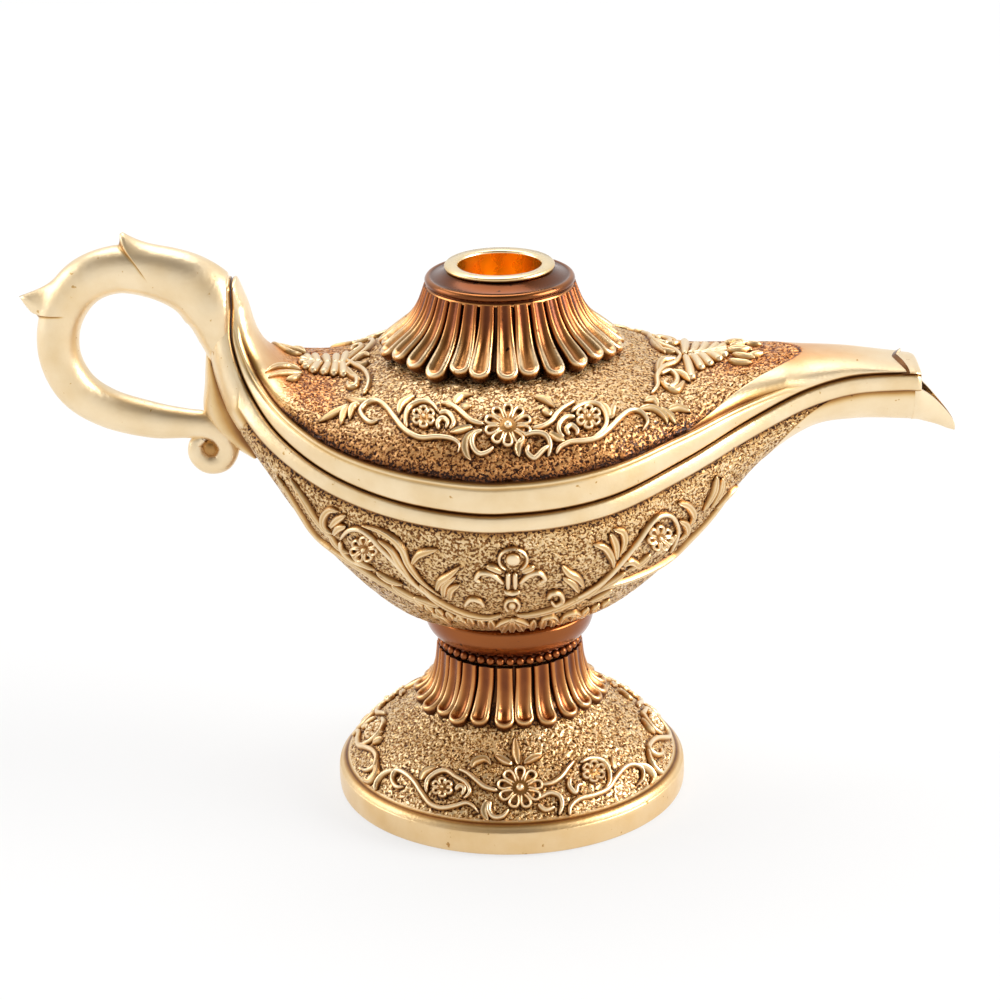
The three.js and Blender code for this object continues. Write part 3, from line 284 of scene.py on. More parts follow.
# Shells at the lid's two ends, in pixels of the picture
LID_SHELL_LEAVES = [
    [(300, 370), (288, 367), (276, 367), (265, 373)],
    [(303, 374), (293, 374), (281, 374), (268, 378)],
    [(300, 375), (294, 379), (286, 380)],
    [(354, 364), (363, 366), (369, 362)],
    [(347, 361), (354, 354), (365, 347)],
    [(671, 372), (682, 375), (690, 382)],
    [(727, 351), (739, 349), (752, 350)],
    [(728, 361), (739, 363), (752, 363)],
    [(732, 355), (744, 357), (755, 358)],
    [(749, 357), (756, 355), (764, 354)],
    [(651, 340), (657, 347), (665, 354)],
    [(652, 338), (665, 339), (677, 342)],
    [(660, 361), (668, 360), (678, 360)],
]
LID_SHELL_STEMS = [
    [(346, 361), (355, 366), (364, 371), (369, 379), (368, 388), (363, 395)],
    [(350, 377), (357, 380), (356, 387), (349, 388), (348, 383)],
    [(681, 356), (676, 363), (664, 368), (657, 376), (657, 387), (651, 394)],
    [(661, 375), (669, 372), (676, 377), (676, 384), (669, 388), (664, 384), (668, 380)],
]

# Ribs of the two shells, from the hub to the tip
LID_SHELL_RIBS = [
    [(341, 351), (343, 364), (344, 377)],
    [(337, 351), (336, 364), (334, 376)],
    [(331, 351), (328, 363), (323, 375)],
    [(324, 352), (318, 363), (312, 373)],
    [(318, 353), (311, 361), (304, 369)],
    [(313, 354), (306, 359), (299, 364)],
    [(683, 348), (688, 364), (692, 380)],
    [(686, 347), (695, 359), (702, 370)],
    [(691, 346), (702, 357), (711, 366)],
    [(697, 345), (709, 353), (721, 361)],
    [(704, 344), (715, 349), (727, 357)],
    [(711, 343), (719, 346), (728, 350)],
]

# Scrolls on the bowl, in pixels of the picture
BOWL_VINES = [
    [(277, 475), (289, 493), (302, 514), (316, 534), (335, 550), (360, 567), (380, 580), (400, 592),
     (419, 603)],
    [(420, 584), (432, 596), (450, 607), (468, 614), (488, 617), (501, 614)],
    [(734, 487), (721, 503), (709, 518), (692, 536), (674, 554), (655, 567), (631, 578), (606, 586),
     (582, 598)],
    [(609, 576), (590, 591), (571, 601), (551, 609), (529, 614), (517, 614)],
]
BOWL_STEMS = [
    [(341, 539), (349, 530), (360, 529), (371, 536), (382, 548), (391, 557), (402, 569), (414, 582),
     (431, 595), (447, 604)],
    [(341, 541), (344, 551), (354, 560), (368, 566)],
    [(465, 605), (471, 598), (480, 600), (484, 606)],
    [(576, 597), (603, 580), (622, 560), (638, 540), (650, 523), (660, 515), (671, 516), (677, 528),
     (675, 540), (669, 552)],
    [(504, 583), (493, 574), (481, 572), (476, 578), (481, 581)],
    [(519, 583), (529, 574), (539, 572), (545, 578), (540, 581)],
    [(504, 590), (512, 592), (520, 590)],
    [(508, 572), (508, 580), (508, 588)],
    [(515, 572), (515, 580), (515, 588)],
    [(547, 598), (552, 592), (560, 593), (562, 600), (555, 604), (551, 600)],
]
BOWL_LEAVES = [
    [(330, 533), (338, 545), (350, 553)],
    [(352, 552), (362, 562), (375, 569)],
    [(377, 571), (389, 579), (403, 584)],
    [(392, 584), (406, 593), (420, 600)],
    [(413, 596), (427, 601), (440, 606)],
    [(676, 533), (667, 543), (655, 552)],
    [(650, 553), (640, 562), (628, 569)],
    [(625, 571), (613, 580), (600, 588)],
    [(612, 588), (601, 595), (589, 601)],
    [(291, 478), (304, 499), (319, 522), (339, 544)],
    [(339, 511), (330, 510), (324, 517), (325, 527), (334, 534)],
    [(346, 515), (337, 520), (331, 527)],
    [(346, 526), (339, 528), (334, 535)],
    [(362, 525), (379, 530), (394, 539), (403, 550), (409, 564), (421, 580), (442, 596)],
    [(378, 539), (391, 549), (400, 563), (410, 578), (425, 592)],
    [(412, 564), (418, 555), (428, 551), (438, 549)],
    [(437, 590), (440, 581), (449, 575), (460, 566)],
    [(444, 596), (445, 584), (456, 576)],
    [(450, 599), (451, 589), (460, 584)],
    [(503, 572), (493, 567), (486, 566)],
    [(521, 572), (529, 568), (535, 566)],
    [(562, 565), (568, 572), (578, 578), (584, 587)],
    [(563, 577), (572, 582), (579, 592)],
    [(593, 544), (604, 547), (611, 557), (613, 568)],
    [(610, 533), (615, 544), (616, 560)],
    [(613, 529), (622, 532), (624, 542), (619, 555)],
    [(678, 503), (688, 506), (693, 516), (688, 525)],
    [(679, 521), (685, 524), (686, 532), (679, 539)],
    [(716, 476), (713, 492), (702, 511)],
    [(722, 478), (719, 492), (710, 508)],
    [(737, 485), (728, 494), (716, 508)],
    [(622, 565), (631, 561), (641, 568)],
    [(512, 618), (502, 622), (491, 628)],
    [(512, 618), (506, 625), (502, 633)],
    [(512, 618), (512, 626), (512, 635)],
    [(512, 618), (518, 625), (523, 632)],
    [(512, 618), (522, 621), (535, 626)],
    [(432, 612), (442, 616), (452, 624)],
    [(452, 616), (462, 619), (472, 627)],
    [(541, 619), (552, 616), (560, 623)],
    [(562, 616), (574, 612), (584, 616)],
]
BOWL_FLOWERS = [(365, 548, 13, 12, 7), (659, 537, 12, 12, 7), (513, 559, 14, 11, 0), (512, 604, 7, 6, 0)]

# Small leaves along the bowl's underside, in pixels of the picture
GARLAND_MIDDLE = (512, 625)
GARLAND_HALF = 92
GARLAND_SAG = 22
GARLAND_LEAVES = 19
GARLAND_LEAF = 11
GARLAND_LEAN = 0.8
GARLAND_CURL = 0.35

# Scroll on the foot, in pixels of the picture, repeated on its three sides
FOOT_STEMS = [
    [(404, 787), (397, 787), (393, 779), (397, 771), (406, 774), (415, 782), (423, 794), (431, 804),
     (442, 808), (455, 806), (466, 803), (473, 806), (479, 813)],
    [(376, 793), (378, 782), (385, 774), (396, 770)],
    [(427, 793), (428, 781), (437, 773), (447, 771), (456, 777), (466, 783), (470, 792), (464, 799)],
    [(456, 791), (460, 786), (465, 789), (462, 796)],
    [(498, 791), (485, 787), (476, 780), (467, 773), (459, 770)],
    [(491, 801), (489, 810), (494, 817), (503, 816), (509, 809)],
    [(541, 785), (552, 783), (561, 777), (567, 769), (574, 761)],
    [(580, 763), (590, 759), (601, 761), (608, 770), (609, 782), (603, 791)],
    [(570, 777), (569, 786), (575, 793), (577, 786), (583, 785)],
    [(570, 818), (570, 807), (579, 799), (594, 795), (607, 789), (615, 778), (624, 768), (633, 765),
     (641, 769), (642, 779), (636, 786)],
    [(538, 799), (549, 793), (559, 796), (562, 805), (559, 815)],
    [(538, 804), (545, 810), (555, 807)],
]
FOOT_LEAVES = [
    [(518, 765), (516, 752), (515, 738)],
    [(512, 765), (503, 760), (495, 755)],
    [(524, 764), (533, 758), (542, 755)],
    [(472, 768), (475, 762), (485, 759), (491, 765)],
    [(421, 781), (426, 772), (438, 767)],
    [(488, 800), (484, 811), (488, 824)],
    [(633, 765), (646, 768), (653, 777), (653, 788)],
    [(603, 758), (609, 770)],
    [(612, 757), (614, 770)],
]
FOOT_FLOWERS = [(520, 788, 22, 20, 9), (443, 788, 10, 9, 6), (593, 772, 11, 10, 6)]

# Foot; its slope is radius and height, its step is out, up and tone
FOOT_RADIUS = 37.1
FOOT_LIFT = 0.4
FOOT_STEP_Z = 7.2
FOOT_TOP = 32.4
FOOT_SLOPE = [
    [34.9, FOOT_STEP_Z], [31.75, 10.6], [27.2, 14.7], [22.1, 18.2],
    [17.98, 22.1], [14.7, 26.9], [13.2, FOOT_TOP],
]
SLOPE_ROWS = 110
FOOT_COLUMNS = 640
FOOT_GROUND_LOW = (0.0, 0.03)
FOOT_GROUND_HIGH = (0.8, 0.7)
FOOT_SHADE = 0.85
FOOT_SHADE_RUN = (0.58, 0.66)
FOOT_WARM = 0.1
FOOT_BULGE = 0.5
FOOT_BULGE_ROWS = 16
FOOT_BULGE_LIFT = 0.1
FOOT_BULGE_DROP = 1.7
FOOT_BULGE_TONE = 0.8
FOOT_STEP = [[-0.8, -1.0, 0.74], [-1.3, -0.5, 0.4], [-1.7, -0.35, 0.15]]
FELT_RADIUS = 33.8
FELT_EASE = 0.4
FELT_SEAT_Z = 1.3

# Cup, boss and collar; the collar's line is out, up and tone
CROWN_AXIS = -0.7
CUP_RADIUS = 9.2
CUP_WALL = 0.7
CUP_FLANGE_RADIUS = 11.2
CUP_Z = 114.8
CUP_TOP = 115.7
CUP_UNDER = 102.8
CUP_HOLE = 2.2
CUP_HOLE_BEVEL = 0.2
CUP_BEVEL = 0.25
CUP_EDGE = 0.3
CUP_LIP = 0.5
CUP_LIP_IN = 0.12
CUP_LIP_DOWN = 0.15
CUP_WELL = 0.6
CUP_CURVE = 1.2
CUP_CURVE_MIDDLE = 0.35
CUP_ROUND = 0.6
CUP_TONES = [0.2, 0.2, 0.8, 0.8, 1.0, 1.0, 1.0, 1.0]
BOSS_RADIUS = 13.0
BOSS_BORE = 9.6
BOSS_FOOT = 97.0
BOSS_Z = 111.1
BOSS_BEVEL = 0.3
BOSS_WARM = 0.3
COLLAR_RADIUS = 15.3
COLLAR_Z = 111.4
COLLAR_TOP = 114.5
COLLAR_EASE = 0.1
COLLAR_BORE_TONE = 0.3
COLLAR_WARM = 0.85
# The line's tones are painted light and shade: a highlight on the rim's top, shade in the groove above the
# lip and under the cup's flange
COLLAR_LINE = [
    [-0.9, -0.65, 0.2], [-0.35, -0.6, 0.5], [-0.2, -0.25, 0.75], [-0.35, 0.1, 0.5], [-0.55, 0.3, 0.15],
    [-0.3, 0.5, 0.22], [-0.02, 0.95, 0.28], [-0.12, 1.45, 0.32], [-0.5, 1.85, 0.48], [-0.95, 1.92, 0.38],
    [-1.4, 1.8, 0.2], [-2.1, 1.95, 0.22], [-3.0, 2.35, 0.24], [-3.8, 2.85, 0.22], [-4.1, 3.1, 0.12],
]
COLLAR_ROWS = 70

# Petals of crown and skirt, and the base behind them: pairs are out and up, or top and tip for paint
CROWN_TOP_RADIUS = 14.7
CROWN_FLARE = 10.5
CROWN_DROP = 13.0
CROWN_CURVE = [[0, 0], [0.15, 0.32], [0.37, 0.58], [0.7, 0.8], [1, 1]]
CROWN_PETALS = 28
CROWN_PHASE = math.radians(-87.1)
CROWN_BORE = 13.3
CROWN_INSET = (0.9, 0.3)
CROWN_WALL = (1.2, 0.9)
CROWN_TONES = (0.5, 1.0)
CROWN_WARMS = (1.0, 0.6)
SKIRT_TOP_RADIUS = 14.6
SKIRT_FLARE = 6.2
SKIRT_DROP = 11.9
SKIRT_CURVE = [[0, 0], [0.11, 0.42], [0.42, 0.79], [1, 1]]
SKIRT_PETALS = 24
SKIRT_PHASE = math.radians(-94.5)
SKIRT_INSET = (0.7, 0.2)
SKIRT_WALL = (0.5, 0.5)
SKIRT_TONES = (0.62, 0.84)
SKIRT_WARMS = (1.0, 0.88)
BASE_FINE = 40
BASE_ROWS = 33
BASE_FLARE = 0.96
BASE_FALL = 0.98
# The base behind the petals is painted dark as shade
PETAL_BASE_SHADE = 0.1
BASE_WARM = 0.6

# One petal; its section is inset, rise, tone and share of the hollow
RIM_GOLD = 0.45
PETAL_GAP = 0.3
PETAL_TIP_GAP = 1.6
PETAL_SIDE = 16
PETAL_TIP = 11
PETAL_WALL = 1.3
# The low tones on each petal's walls are painted shade in the gaps between petals
PETAL_SECTION = [
    [1, -PETAL_WALL, 0.05, 0], [0.5, -PETAL_WALL, 0.05, 0], [0, -PETAL_WALL, 0.05, 0], [0, 0.0, 0.15, 0],
    [0.1, 0.5, 0.7, 0], [0.22, 0.76, 1.0, 0], [0.36, 0.82, 1.0, 0], [0.5, 0.74, 0.8, 0.25],
    [0.64, 0.6, 0.55, 0.7], [0.82, 0.5, 0.45, 1], [1, 0.48, 0.45, 1],
]
PETAL_HOLLOW = 0.4
PETAL_FADE = (0.1, 0.8)
PETAL_SLOPE_STEP = 0.1
PETAL_UNEVEN = 0.11
PETAL_UNEVEN_TURN = 2.4
PETAL_LEAN = 0.035
PETAL_LEAN_TURN = 5.1

# Beads and stem ring
BEAD_RING_Z = 32.7
BEAD_RING_TOP = 34.7
BEAD_CORE = 14.1
BEAD_BEVEL = 0.3
BEAD_BEVEL_Z = 0.5
BEAD_CORE_TONE = 0.15
BEAD_COUNT = 44
BEAD_SIZE = 0.95
BEAD_STAND = 0.35
BEAD_TONE = 0.4
BEAD_COLUMNS = 12
BEAD_ROWS = 8
BEAD_POLE = 0.15
STEM_Z = 35.0
STEM_TOP = 41.5
STEM_RADIUS = 17.9
STEM_BORE = 5.0
STEM_ROWS = 26
STEM_BULGE = 5.2
STEM_RIM = [[0.05, -0.9], [-0.05, -0.35], [-0.4, 0.0]]
# The ring's low tone is partly the copper's colour and partly a painted reflection of the dark room in front
STEM_TONE = 0.4

# Mouth and beak of the spout; a ring is depth and growth, a row of the beak along, wide, drop and high
MOUTH_X = 84.7
MOUTH_ROUND = 1.1
MOUTH_ROWS = 12
MOUTH_ROUND_ROWS = 7
MOUTH_ROUND_START = 0.15
MOUTH_BACK_SHADE = 0.15
CHANNEL_Z = 87.16
CHANNEL_HALF_WIDTH = 4.4
CHANNEL_HALF_HEIGHT = 4.0
CHANNEL_BACK = 74.0
CHANNEL_RINGS = [(0.0, 1.05), (0.4, 1.0), (MOUTH_X - CHANNEL_BACK, 0.98)]
CHANNEL_SHADE = 0.12
BEAK_REACH = 8.0
BEAK_DROP = 2.7
BEAK_HALF = 5.5
BEAK_KEEL = 80.6
BEAK_SIDE = 7.95
BEAK_WALL = 1.1
BEAK_WALL_SHARE = 0.45
BEAK_INSIDE_TONE = 0.7
BEAK_ROWS = 40
ARCH_COLUMNS = 31
BEAK = [
    [-0.14, 1, 0, 1], [0, 0.98, 0, 1], [0.28, 0.7, 0.25, 0.86], [0.54, 0.46, 0.5, 0.67],
    [0.79, 0.28, 0.82, 0.48], [0.95, 0.19, 0.97, 0.29], [1, 0.13, 1, 0.14],
]

# Handle; its path is X, Z and radius
STERN_X = -60.0
BEND_X = -90.9
TOP_Z = 115.7
MID_Z = 99.1
ARM_Z = 82.5
ROOT_RADIUS = 6.0
TUBE_RADIUS = 4.3
FLATTEN = 0.88
ROOT_KNOT = 3.0
ROOT_FULL = 1.0
ROOT_WIDEN = 0.22
SEAM_X = -55.8
CURL_RADIUS = 2.45
CURL_EYE_X = -1.0
CURL_EYE_Z = -5.4
CURL_EYE_RADIUS = 2.0
CURL_EYE_TONE = 0.4
HANDLE_PATH = [
    [STERN_X + 3.4, TOP_Z - 19.7, ROOT_RADIUS - 2.6],
    [STERN_X + 2.6, TOP_Z - 14.2, ROOT_RADIUS - 1.0],
    [STERN_X + 1.0, TOP_Z - 7.9, ROOT_RADIUS + 0.6],
    [STERN_X - 3.4, TOP_Z - 3.4, ROOT_RADIUS + 0.2],
    [STERN_X - 10.5, TOP_Z - 0.7, ROOT_RADIUS - 0.6],
    [STERN_X - 18.5, TOP_Z, TUBE_RADIUS + 0.6],
    [BEND_X + 5.4, TOP_Z - 3.0, TUBE_RADIUS + 0.4],
    [BEND_X + 0.9, MID_Z + 6.8, TUBE_RADIUS + 0.1],
    [BEND_X, MID_Z - 1.2, TUBE_RADIUS],
    [BEND_X + 3.0, MID_Z - 8.4, TUBE_RADIUS],
    [BEND_X + 9.2, ARM_Z + 3.6, TUBE_RADIUS - 0.2],
    [BEND_X + 17.9, ARM_Z + 0.9, TUBE_RADIUS - 0.5],
    [STERN_X - 6.2, ARM_Z, CURL_RADIUS + 0.7],
    [STERN_X - 2.0, ARM_Z - 0.5, CURL_RADIUS + 0.5],
    [STERN_X + 1.0, ARM_Z - 2.3, CURL_RADIUS + 0.2],
    [STERN_X + 2.4, ARM_Z - 5.4, CURL_RADIUS],
    [STERN_X + 1.1, ARM_Z - 8.3, CURL_RADIUS - 0.1],
    [STERN_X - 1.7, ARM_Z - 8.8, CURL_RADIUS - 0.2],
    [STERN_X - 3.7, ARM_Z - 7.0, CURL_RADIUS - 0.4],
    [STERN_X - 3.9, ARM_Z - 4.6, CURL_RADIUS - 0.8],
    [STERN_X - 2.6, ARM_Z - 3.4, CURL_RADIUS - 1.3],
]
HANDLE_ROWS = 460
HANDLE_COLUMNS = 56
KNOT_STEP = 0.01

# Handle's flaps: knot of the edge, slant, then the thorn's start, peak, end, height, power and width
FLAPS = [[4.8, 1.2, 3.9, 4.78, 4.82, 2.2, 3.0, 0.45], [7.08, 0.5, 6.25, 6.88, 7.12, 4.4, 1.9, 0.36]]
FLAP_STEP = 0.006
FLAP_RUN = 0.7
FLAP_LIMIT = 0.6
FLAP_THICK = 0.75
FLAP_SIDE = (0.4, 0.75)
FLAP_FALL = 0.8
FLAP_SPREAD = 0.4
FLAP_EDGE_SHADE = 0.7
FLAP_LINE = 0.035
FLAP_LINE_SIDE = (0.4, 0.6)

# Web between the handle and the stern: its outer line, and its line on the stern with its half width
WEB_LEFT = [
    [STERN_X - 0.9, ARM_Z + 16.5], [STERN_X - 1.5, ARM_Z + 9.5], [STERN_X - 2.0, ARM_Z + 2.5],
    [STERN_X + 1.0, ARM_Z - 3.0], [STERN_X + 7.6, ARM_Z - 8.0],
]
WEB_RIGHT = [
    [STERN_X - 0.5, ARM_Z + 16.7, 0.8], [STERN_X + 2.3, ARM_Z + 9.5, 3.9], [STERN_X + 4.9, ARM_Z + 4.1, 4.0],
    [STERN_X + 6.4, ARM_Z - 1.4, 3.2], [STERN_X + 8.4, ARM_Z - 7.6, 1.0],
]
WEB_ROWS = 60
WEB_COLUMNS = 25
WEB_EDGE_SHADE = 0.85
WEB_POWER = 6

# Colours of the metals by tone, and their wear, pits, specks and grain
GOLD = [
    (0.0, (0.045, 0.014, 0.003)), (0.25, (0.25, 0.098, 0.022)), (0.5, (0.55, 0.3, 0.09)),
    (0.75, (0.8, 0.57, 0.28)), (1.0, (0.95, 0.77, 0.51)),
]
COPPER = [
    (0.0, (0.025, 0.006, 0.002)), (0.25, (0.15, 0.036, 0.008)), (0.5, (0.4, 0.12, 0.025)),
    (0.75, (0.7, 0.29, 0.075)), (1.0, (0.92, 0.58, 0.28)),
]
BRASS = [
    (0.0, (0.9, 0.49, 0.02)), (0.2, (0.9, 0.52, 0.04)), (0.8, (0.93, 0.62, 0.24)), (1.0, (0.96, 0.77, 0.46)),
]
LACQUER = 0.25
LACQUER_ROUGH = 0.2
WEAR_SCALE = 130.0
WEAR_DETAIL = 6.0
WEAR_RANGE = (0.2, 0.8)
WEAR_ROUGHER = 0.08
WEAR_SMOOTHER = 0.05
PIT_SCALE = 1900.0
PIT_DETAIL = 2.0
PIT_LEVELS = (0.4, 0.54)
PIT_DARK = 0.6
PIT_BUMP = 0.6
PIT_BUMP_DEPTH = 0.0003
SPECK_SCALE = 650.0
SPECK_DETAIL = 2.0
SPECK_LEVELS = (0.29, 0.25)
SPECK_DARK = 0.35
GRAIN_DETAIL = 4.0
GRAIN_BUMP_DEPTH = 0.0002
BRASS_SCALE = 260.0
BRASS_DETAIL = 3.0
BRASS_WEAR = 0.1
BRASS_ROUGH = (0.34, 0.22)
HIDDEN_RANGE = (0.3, 0.7)
HIDDEN_BUMP = 0.4

# Floor, room and lamps
FLOOR_SIZE = 6.0
FLOOR_WHITE = (0.76, 0.76, 0.76, 1)
FLOOR_ROUGH = 0.9
FLOOR_GLOW = 0.72
DARK_PATCH = (0.0, -0.34, 0.94)
ROOM = [
    (0.55, (1.0, 1.0, 1.0)), (0.78, (0.55, 0.52, 0.48)), (0.92, (0.2, 0.17, 0.14)), (1.0, (0.12, 0.1, 0.08)),
]
ROOM_STRENGTH = 0.84
LAMP_TARGET = (0, 0, 0.07)


def smooth(value, low, high):
    """0 at low and 1 at high, with soft ends; low may lie above high."""
    share = np.clip((value - low) / (high - low), 0, 1)
    return share * share * (3 - 2 * share)


def unit(vectors):
    """The same directions, one long."""
    return vectors / np.maximum(np.linalg.norm(vectors, axis=-1, keepdims=True), TINY)


def spline(rows, share):
    """Smooth curve through rows, at a share of its knots from 0 to 1."""
    rows = np.asarray(rows, float)
    last = len(rows) - 1
    at = np.clip(np.asarray(share, float), 0, 1) * last
    i = np.minimum(at.astype(int), last - 1)
    f = (at - i)[..., None]
    here, there = rows[i], rows[i + 1]
    leave = (there - rows[np.maximum(i - 1, 0)]) / 2
    reach = (rows[np.minimum(i + 2, last)] - here) / 2
    bend = 2 * here - 2 * there + leave + reach
    lean = 3 * there - 3 * here - 2 * leave - reach
    return ((bend * f + lean) * f + leave) * f + here


def length_along(line):
    """Length from the start of a line to each of its points."""
    return np.concatenate([[0], np.cumsum(np.linalg.norm(np.diff(line, axis=0), axis=1))])


def quads(net):
    """Corners of the faces between the points of a net."""
    return np.stack([net[:-1, :-1], net[:-1, 1:], net[1:, 1:], net[1:, :-1]], -1).reshape(-1, 4).tolist()


class Skin:
    """Points, faces and paint of one piece: tone from dark to bright, which also holds painted light and
    shade, warm from gold to copper, and pits.
    """

    def __init__(self):
        self.points, self.faces, self.paints = [], [], []
        self.count = 0

    def grid(self, points, tone, warm=0.0, close_rows=False, close_columns=False, pits=0.0):
        """A net of quads; returns the numbers of its points."""
        rows, columns = points.shape[:2]
        index = np.arange(rows * columns).reshape(rows, columns) + self.count
        net = index
        if close_columns:
            net = np.concatenate([net, net[:, :1]], 1)
        if close_rows:
            net = np.concatenate([net, net[:1]], 0)
        self.faces += quads(net)
        paint = np.stack([np.broadcast_to(value, (rows, columns)) for value in (tone, warm, pits)], -1)
        self.add(points.reshape(-1, 3), paint.reshape(-1, 3))
        return index

    def add(self, points, paint):
        """Points with their paint values."""
        self.points.append(points)
        self.paints.append(paint)
        self.count += len(points)

    def cap(self, ring):
        """Closes a ring of points with one face."""
        self.faces.append([int(corner) for corner in ring])

    def tube(self, points, tone, warm=0.0, pits=0.0):
        """A closed body of rings of points, with both ends capped."""
        index = self.grid(points, tone, warm, close_columns=True, pits=pits)
        self.cap(index[0])
        self.cap(index[-1])

    def repeat(self, turns):
        """Adds a copy of everything so far under each 3 by 3 matrix."""
        points, paint = np.concatenate(self.points), np.concatenate(self.paints)
        faces = list(self.faces)
        for turn in turns:
            shift = self.count
            self.faces += [[corner + shift for corner in face] for face in faces]
            self.add(points @ np.array(turn).T, paint)


def make(name, skin, material, body, node):
    """Turns a skin into a piece that rides on a body and stands for a node."""
    mesh = bpy.data.meshes.new(name)
    mesh.from_pydata((np.concatenate(skin.points) * MM).tolist(), [], skin.faces)
    for label, values in zip(PAINTS, np.concatenate(skin.paints).T):
        mesh.attributes.new(label, "FLOAT", "POINT").data.foreach_set("value", np.ascontiguousarray(values))
    shape = bmesh.new()
    shape.from_mesh(mesh)
    bmesh.ops.remove_doubles(shape, verts=shape.verts, dist=MERGE)
    bmesh.ops.recalc_face_normals(shape, faces=shape.faces)
    shape.to_mesh(mesh)
    shape.free()
    mesh.shade_smooth()
    mesh.set_sharp_from_angle(angle=SHARP)
    mesh.materials.append(material)
    piece = bpy.data.objects.new(name, mesh)
    bpy.context.scene.collection.objects.link(piece)
    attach(piece, body)
    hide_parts(node)


# Body of the lamp

def hull(station):
    """Half width, lid band, and the seam, ridge and keel points of the side view."""
    along, beam, rim, dome, depth, fore, aft, band = np.moveaxis(spline(LINES, station / LAST), -1, 0)
    x = along * np.where(along < 0, TAIL_REACH, NOSE_REACH)
    z = RIM_Z + rim * np.where(station < MIDDLE, TAIL_RISE, NOSE_RISE)
    seam = np.stack([x, z], -1)
    ridge = np.stack([x + fore * STERN_DEPTH, z + dome * DOME_RISE], -1)
    keel = np.stack([x + aft * STERN_DEPTH, z - depth * HULL_DEPTH], -1)
    return beam * HALF_BEAM, band * LID_BAND, seam, ridge, keel


def even_stations(first, last, count):
    """Stations spaced evenly along the seam."""
    trial = np.linspace(first, last, FINE_STEPS)
    run = length_along(hull(trial)[2])
    return np.interp(np.linspace(0, run[-1], count), run, trial)


def even_angles(wide, tall, count):
    """Angles from 0 to half a turn, spaced evenly along an ellipse."""
    trial = np.linspace(0, np.pi, FINE_STEPS)
    run = np.concatenate([[0], np.cumsum(np.hypot(wide * np.sin(trial), tall * np.cos(trial))[1:])])
    return np.interp(np.linspace(0, run[-1], count), run, trial)


def shell(station, upper):
    """Half width, start, heading, height and band of the lid's or the bowl's side."""
    half, band, seam, ridge, keel = hull(station)
    half = np.maximum(half, TAIL_HALF) * np.sqrt(1 - np.clip(1 - station / TAIL_TIP, 0, TAIL_CLIP) ** 2)
    ahead = hull(np.minimum(station + STATION_STEP, LAST))[2]
    behind = hull(np.maximum(station - STATION_STEP, 0))[2]
    run = unit(ahead - behind)
    normal = np.stack([-run[:, 1], run[:, 0]], -1)
    start = seam + normal * SEAT_GAP / 2 * (1 if upper else -1)
    reach = (ridge if upper else keel) - start
    height = np.linalg.norm(reach, axis=1)
    share = TAIL_BAND_SHARE + (BAND_SHARE - TAIL_BAND_SHARE) * edged(station, upper)
    edge = np.minimum(band if upper else BOWL_BAND, height * share)
    return half, start, reach / height[:, None], height, edge


def place(start, heading, across, distance):
    """Points that lie across the middle plane and at a distance along the heading."""
    x = start[:, :1] + heading[:, :1] * distance
    z = start[:, 1:] + heading[:, 1:] * distance
    return np.stack([x, np.broadcast_to(across, x.shape), z], -1)


def within(station, limits, fade=STATION_FADE):
    """1 between two stations and 0 outside them."""
    low, high = limits
    return smooth(station, low, low + fade) * smooth(station, high, high - fade)


def edged(station, upper):
    """1 where a band has an edge of its own, 0 where it runs smoothly into its panel."""
    if upper:
        return within(station, LID_EDGE_STATIONS, EDGE_FADE)
    return within(station, BOWL_EDGE_STATIONS, BOWL_EDGE_FADE)


def set_back(station, half, upper):
    """Half width of a panel, which lies a little inside its band."""
    return np.maximum(half - PANEL_INSET * edged(station, upper), half / 2)


def band_line(station, edge, upper):
    """Share, bulge and tone of a band's outside, from the seam to the panel, with painted shade in the
    seam's gap, at the panel's edge and, on the lid, in the bead's groove.
    """
    share = (1 - np.cos(np.linspace(0, np.pi, BAND_ROWS))) / 2
    seam_far = share * edge[:, None]
    panel_far = (1 - share) * edge[:, None]
    own_edge = edged(station, upper)[:, None]
    seam_dip = np.exp(-((seam_far / BAND_ROUND) ** 2))
    panel_dip = own_edge * np.exp(-((panel_far / BAND_ROUND) ** 2))
    proud = BAND_BULGE * own_edge * 4 * share * (1 - share) - BAND_EDGE * (seam_dip + panel_dip)
    # Painted shade: the band darkens into the seam's gap and into the crease at the panel's edge
    tone = BAND_TONE - SEAM_SHADE * seam_dip - PANEL_EDGE_SHADE * panel_dip
    if upper:
        groove = own_edge * np.exp(-(((panel_far - BEAD_WIDTH) / BEAD_GROOVE) ** 2))
        proud = proud - BEAD_GROOVE * groove
        # Painted shade in the bead's groove
        tone = tone - GROOVE_SHADE * groove
    return share, proud, tone


def panel(upper, rows, columns):
    """A plain outer surface, with its stations and its climb from the band as a share and as a length."""
    station = even_stations(0, LID_LAST if upper else BOWL_LAST, rows)
    half, start, heading, height, edge = shell(station, upper)
    angle = even_angles(HALF_BEAM, DOME_RISE if upper else HULL_DEPTH, columns)
    wide = set_back(station, half, upper)
    climb = np.broadcast_to(np.sin(angle), (rows, columns))
    rise = (height - edge)[:, None] * climb
    points = place(start, heading, -wide[:, None] * np.cos(angle), edge[:, None] + rise)
    return points, station, climb, rise


def trim(points, upper):
    """Cuts the lid's nose to its slanted joint, and the bowl's keel to its seat."""
    if upper:
        points[..., 0] = np.minimum(points[..., 0], LID_END + LID_SLANT * np.abs(points[..., 1]))
    else:
        points[..., 2] = np.maximum(points[..., 2], BOWL_Z)
    return points


def chamber_half(half):
    """Half width of the bowl's inside."""
    return np.maximum(half - WALL, THINNEST)


def chamber_height(station):
    """How far the bowl's inside reaches below the seam."""
    half, _, seam, _, keel = hull(station)
    floor = SPOUT_FLOOR + (FLOOR - SPOUT_FLOOR) * smooth(half / HALF_BEAM, *FLOOR_BEAM)
    return np.maximum(np.linalg.norm(keel - seam, axis=1) - floor, SHALLOWEST)


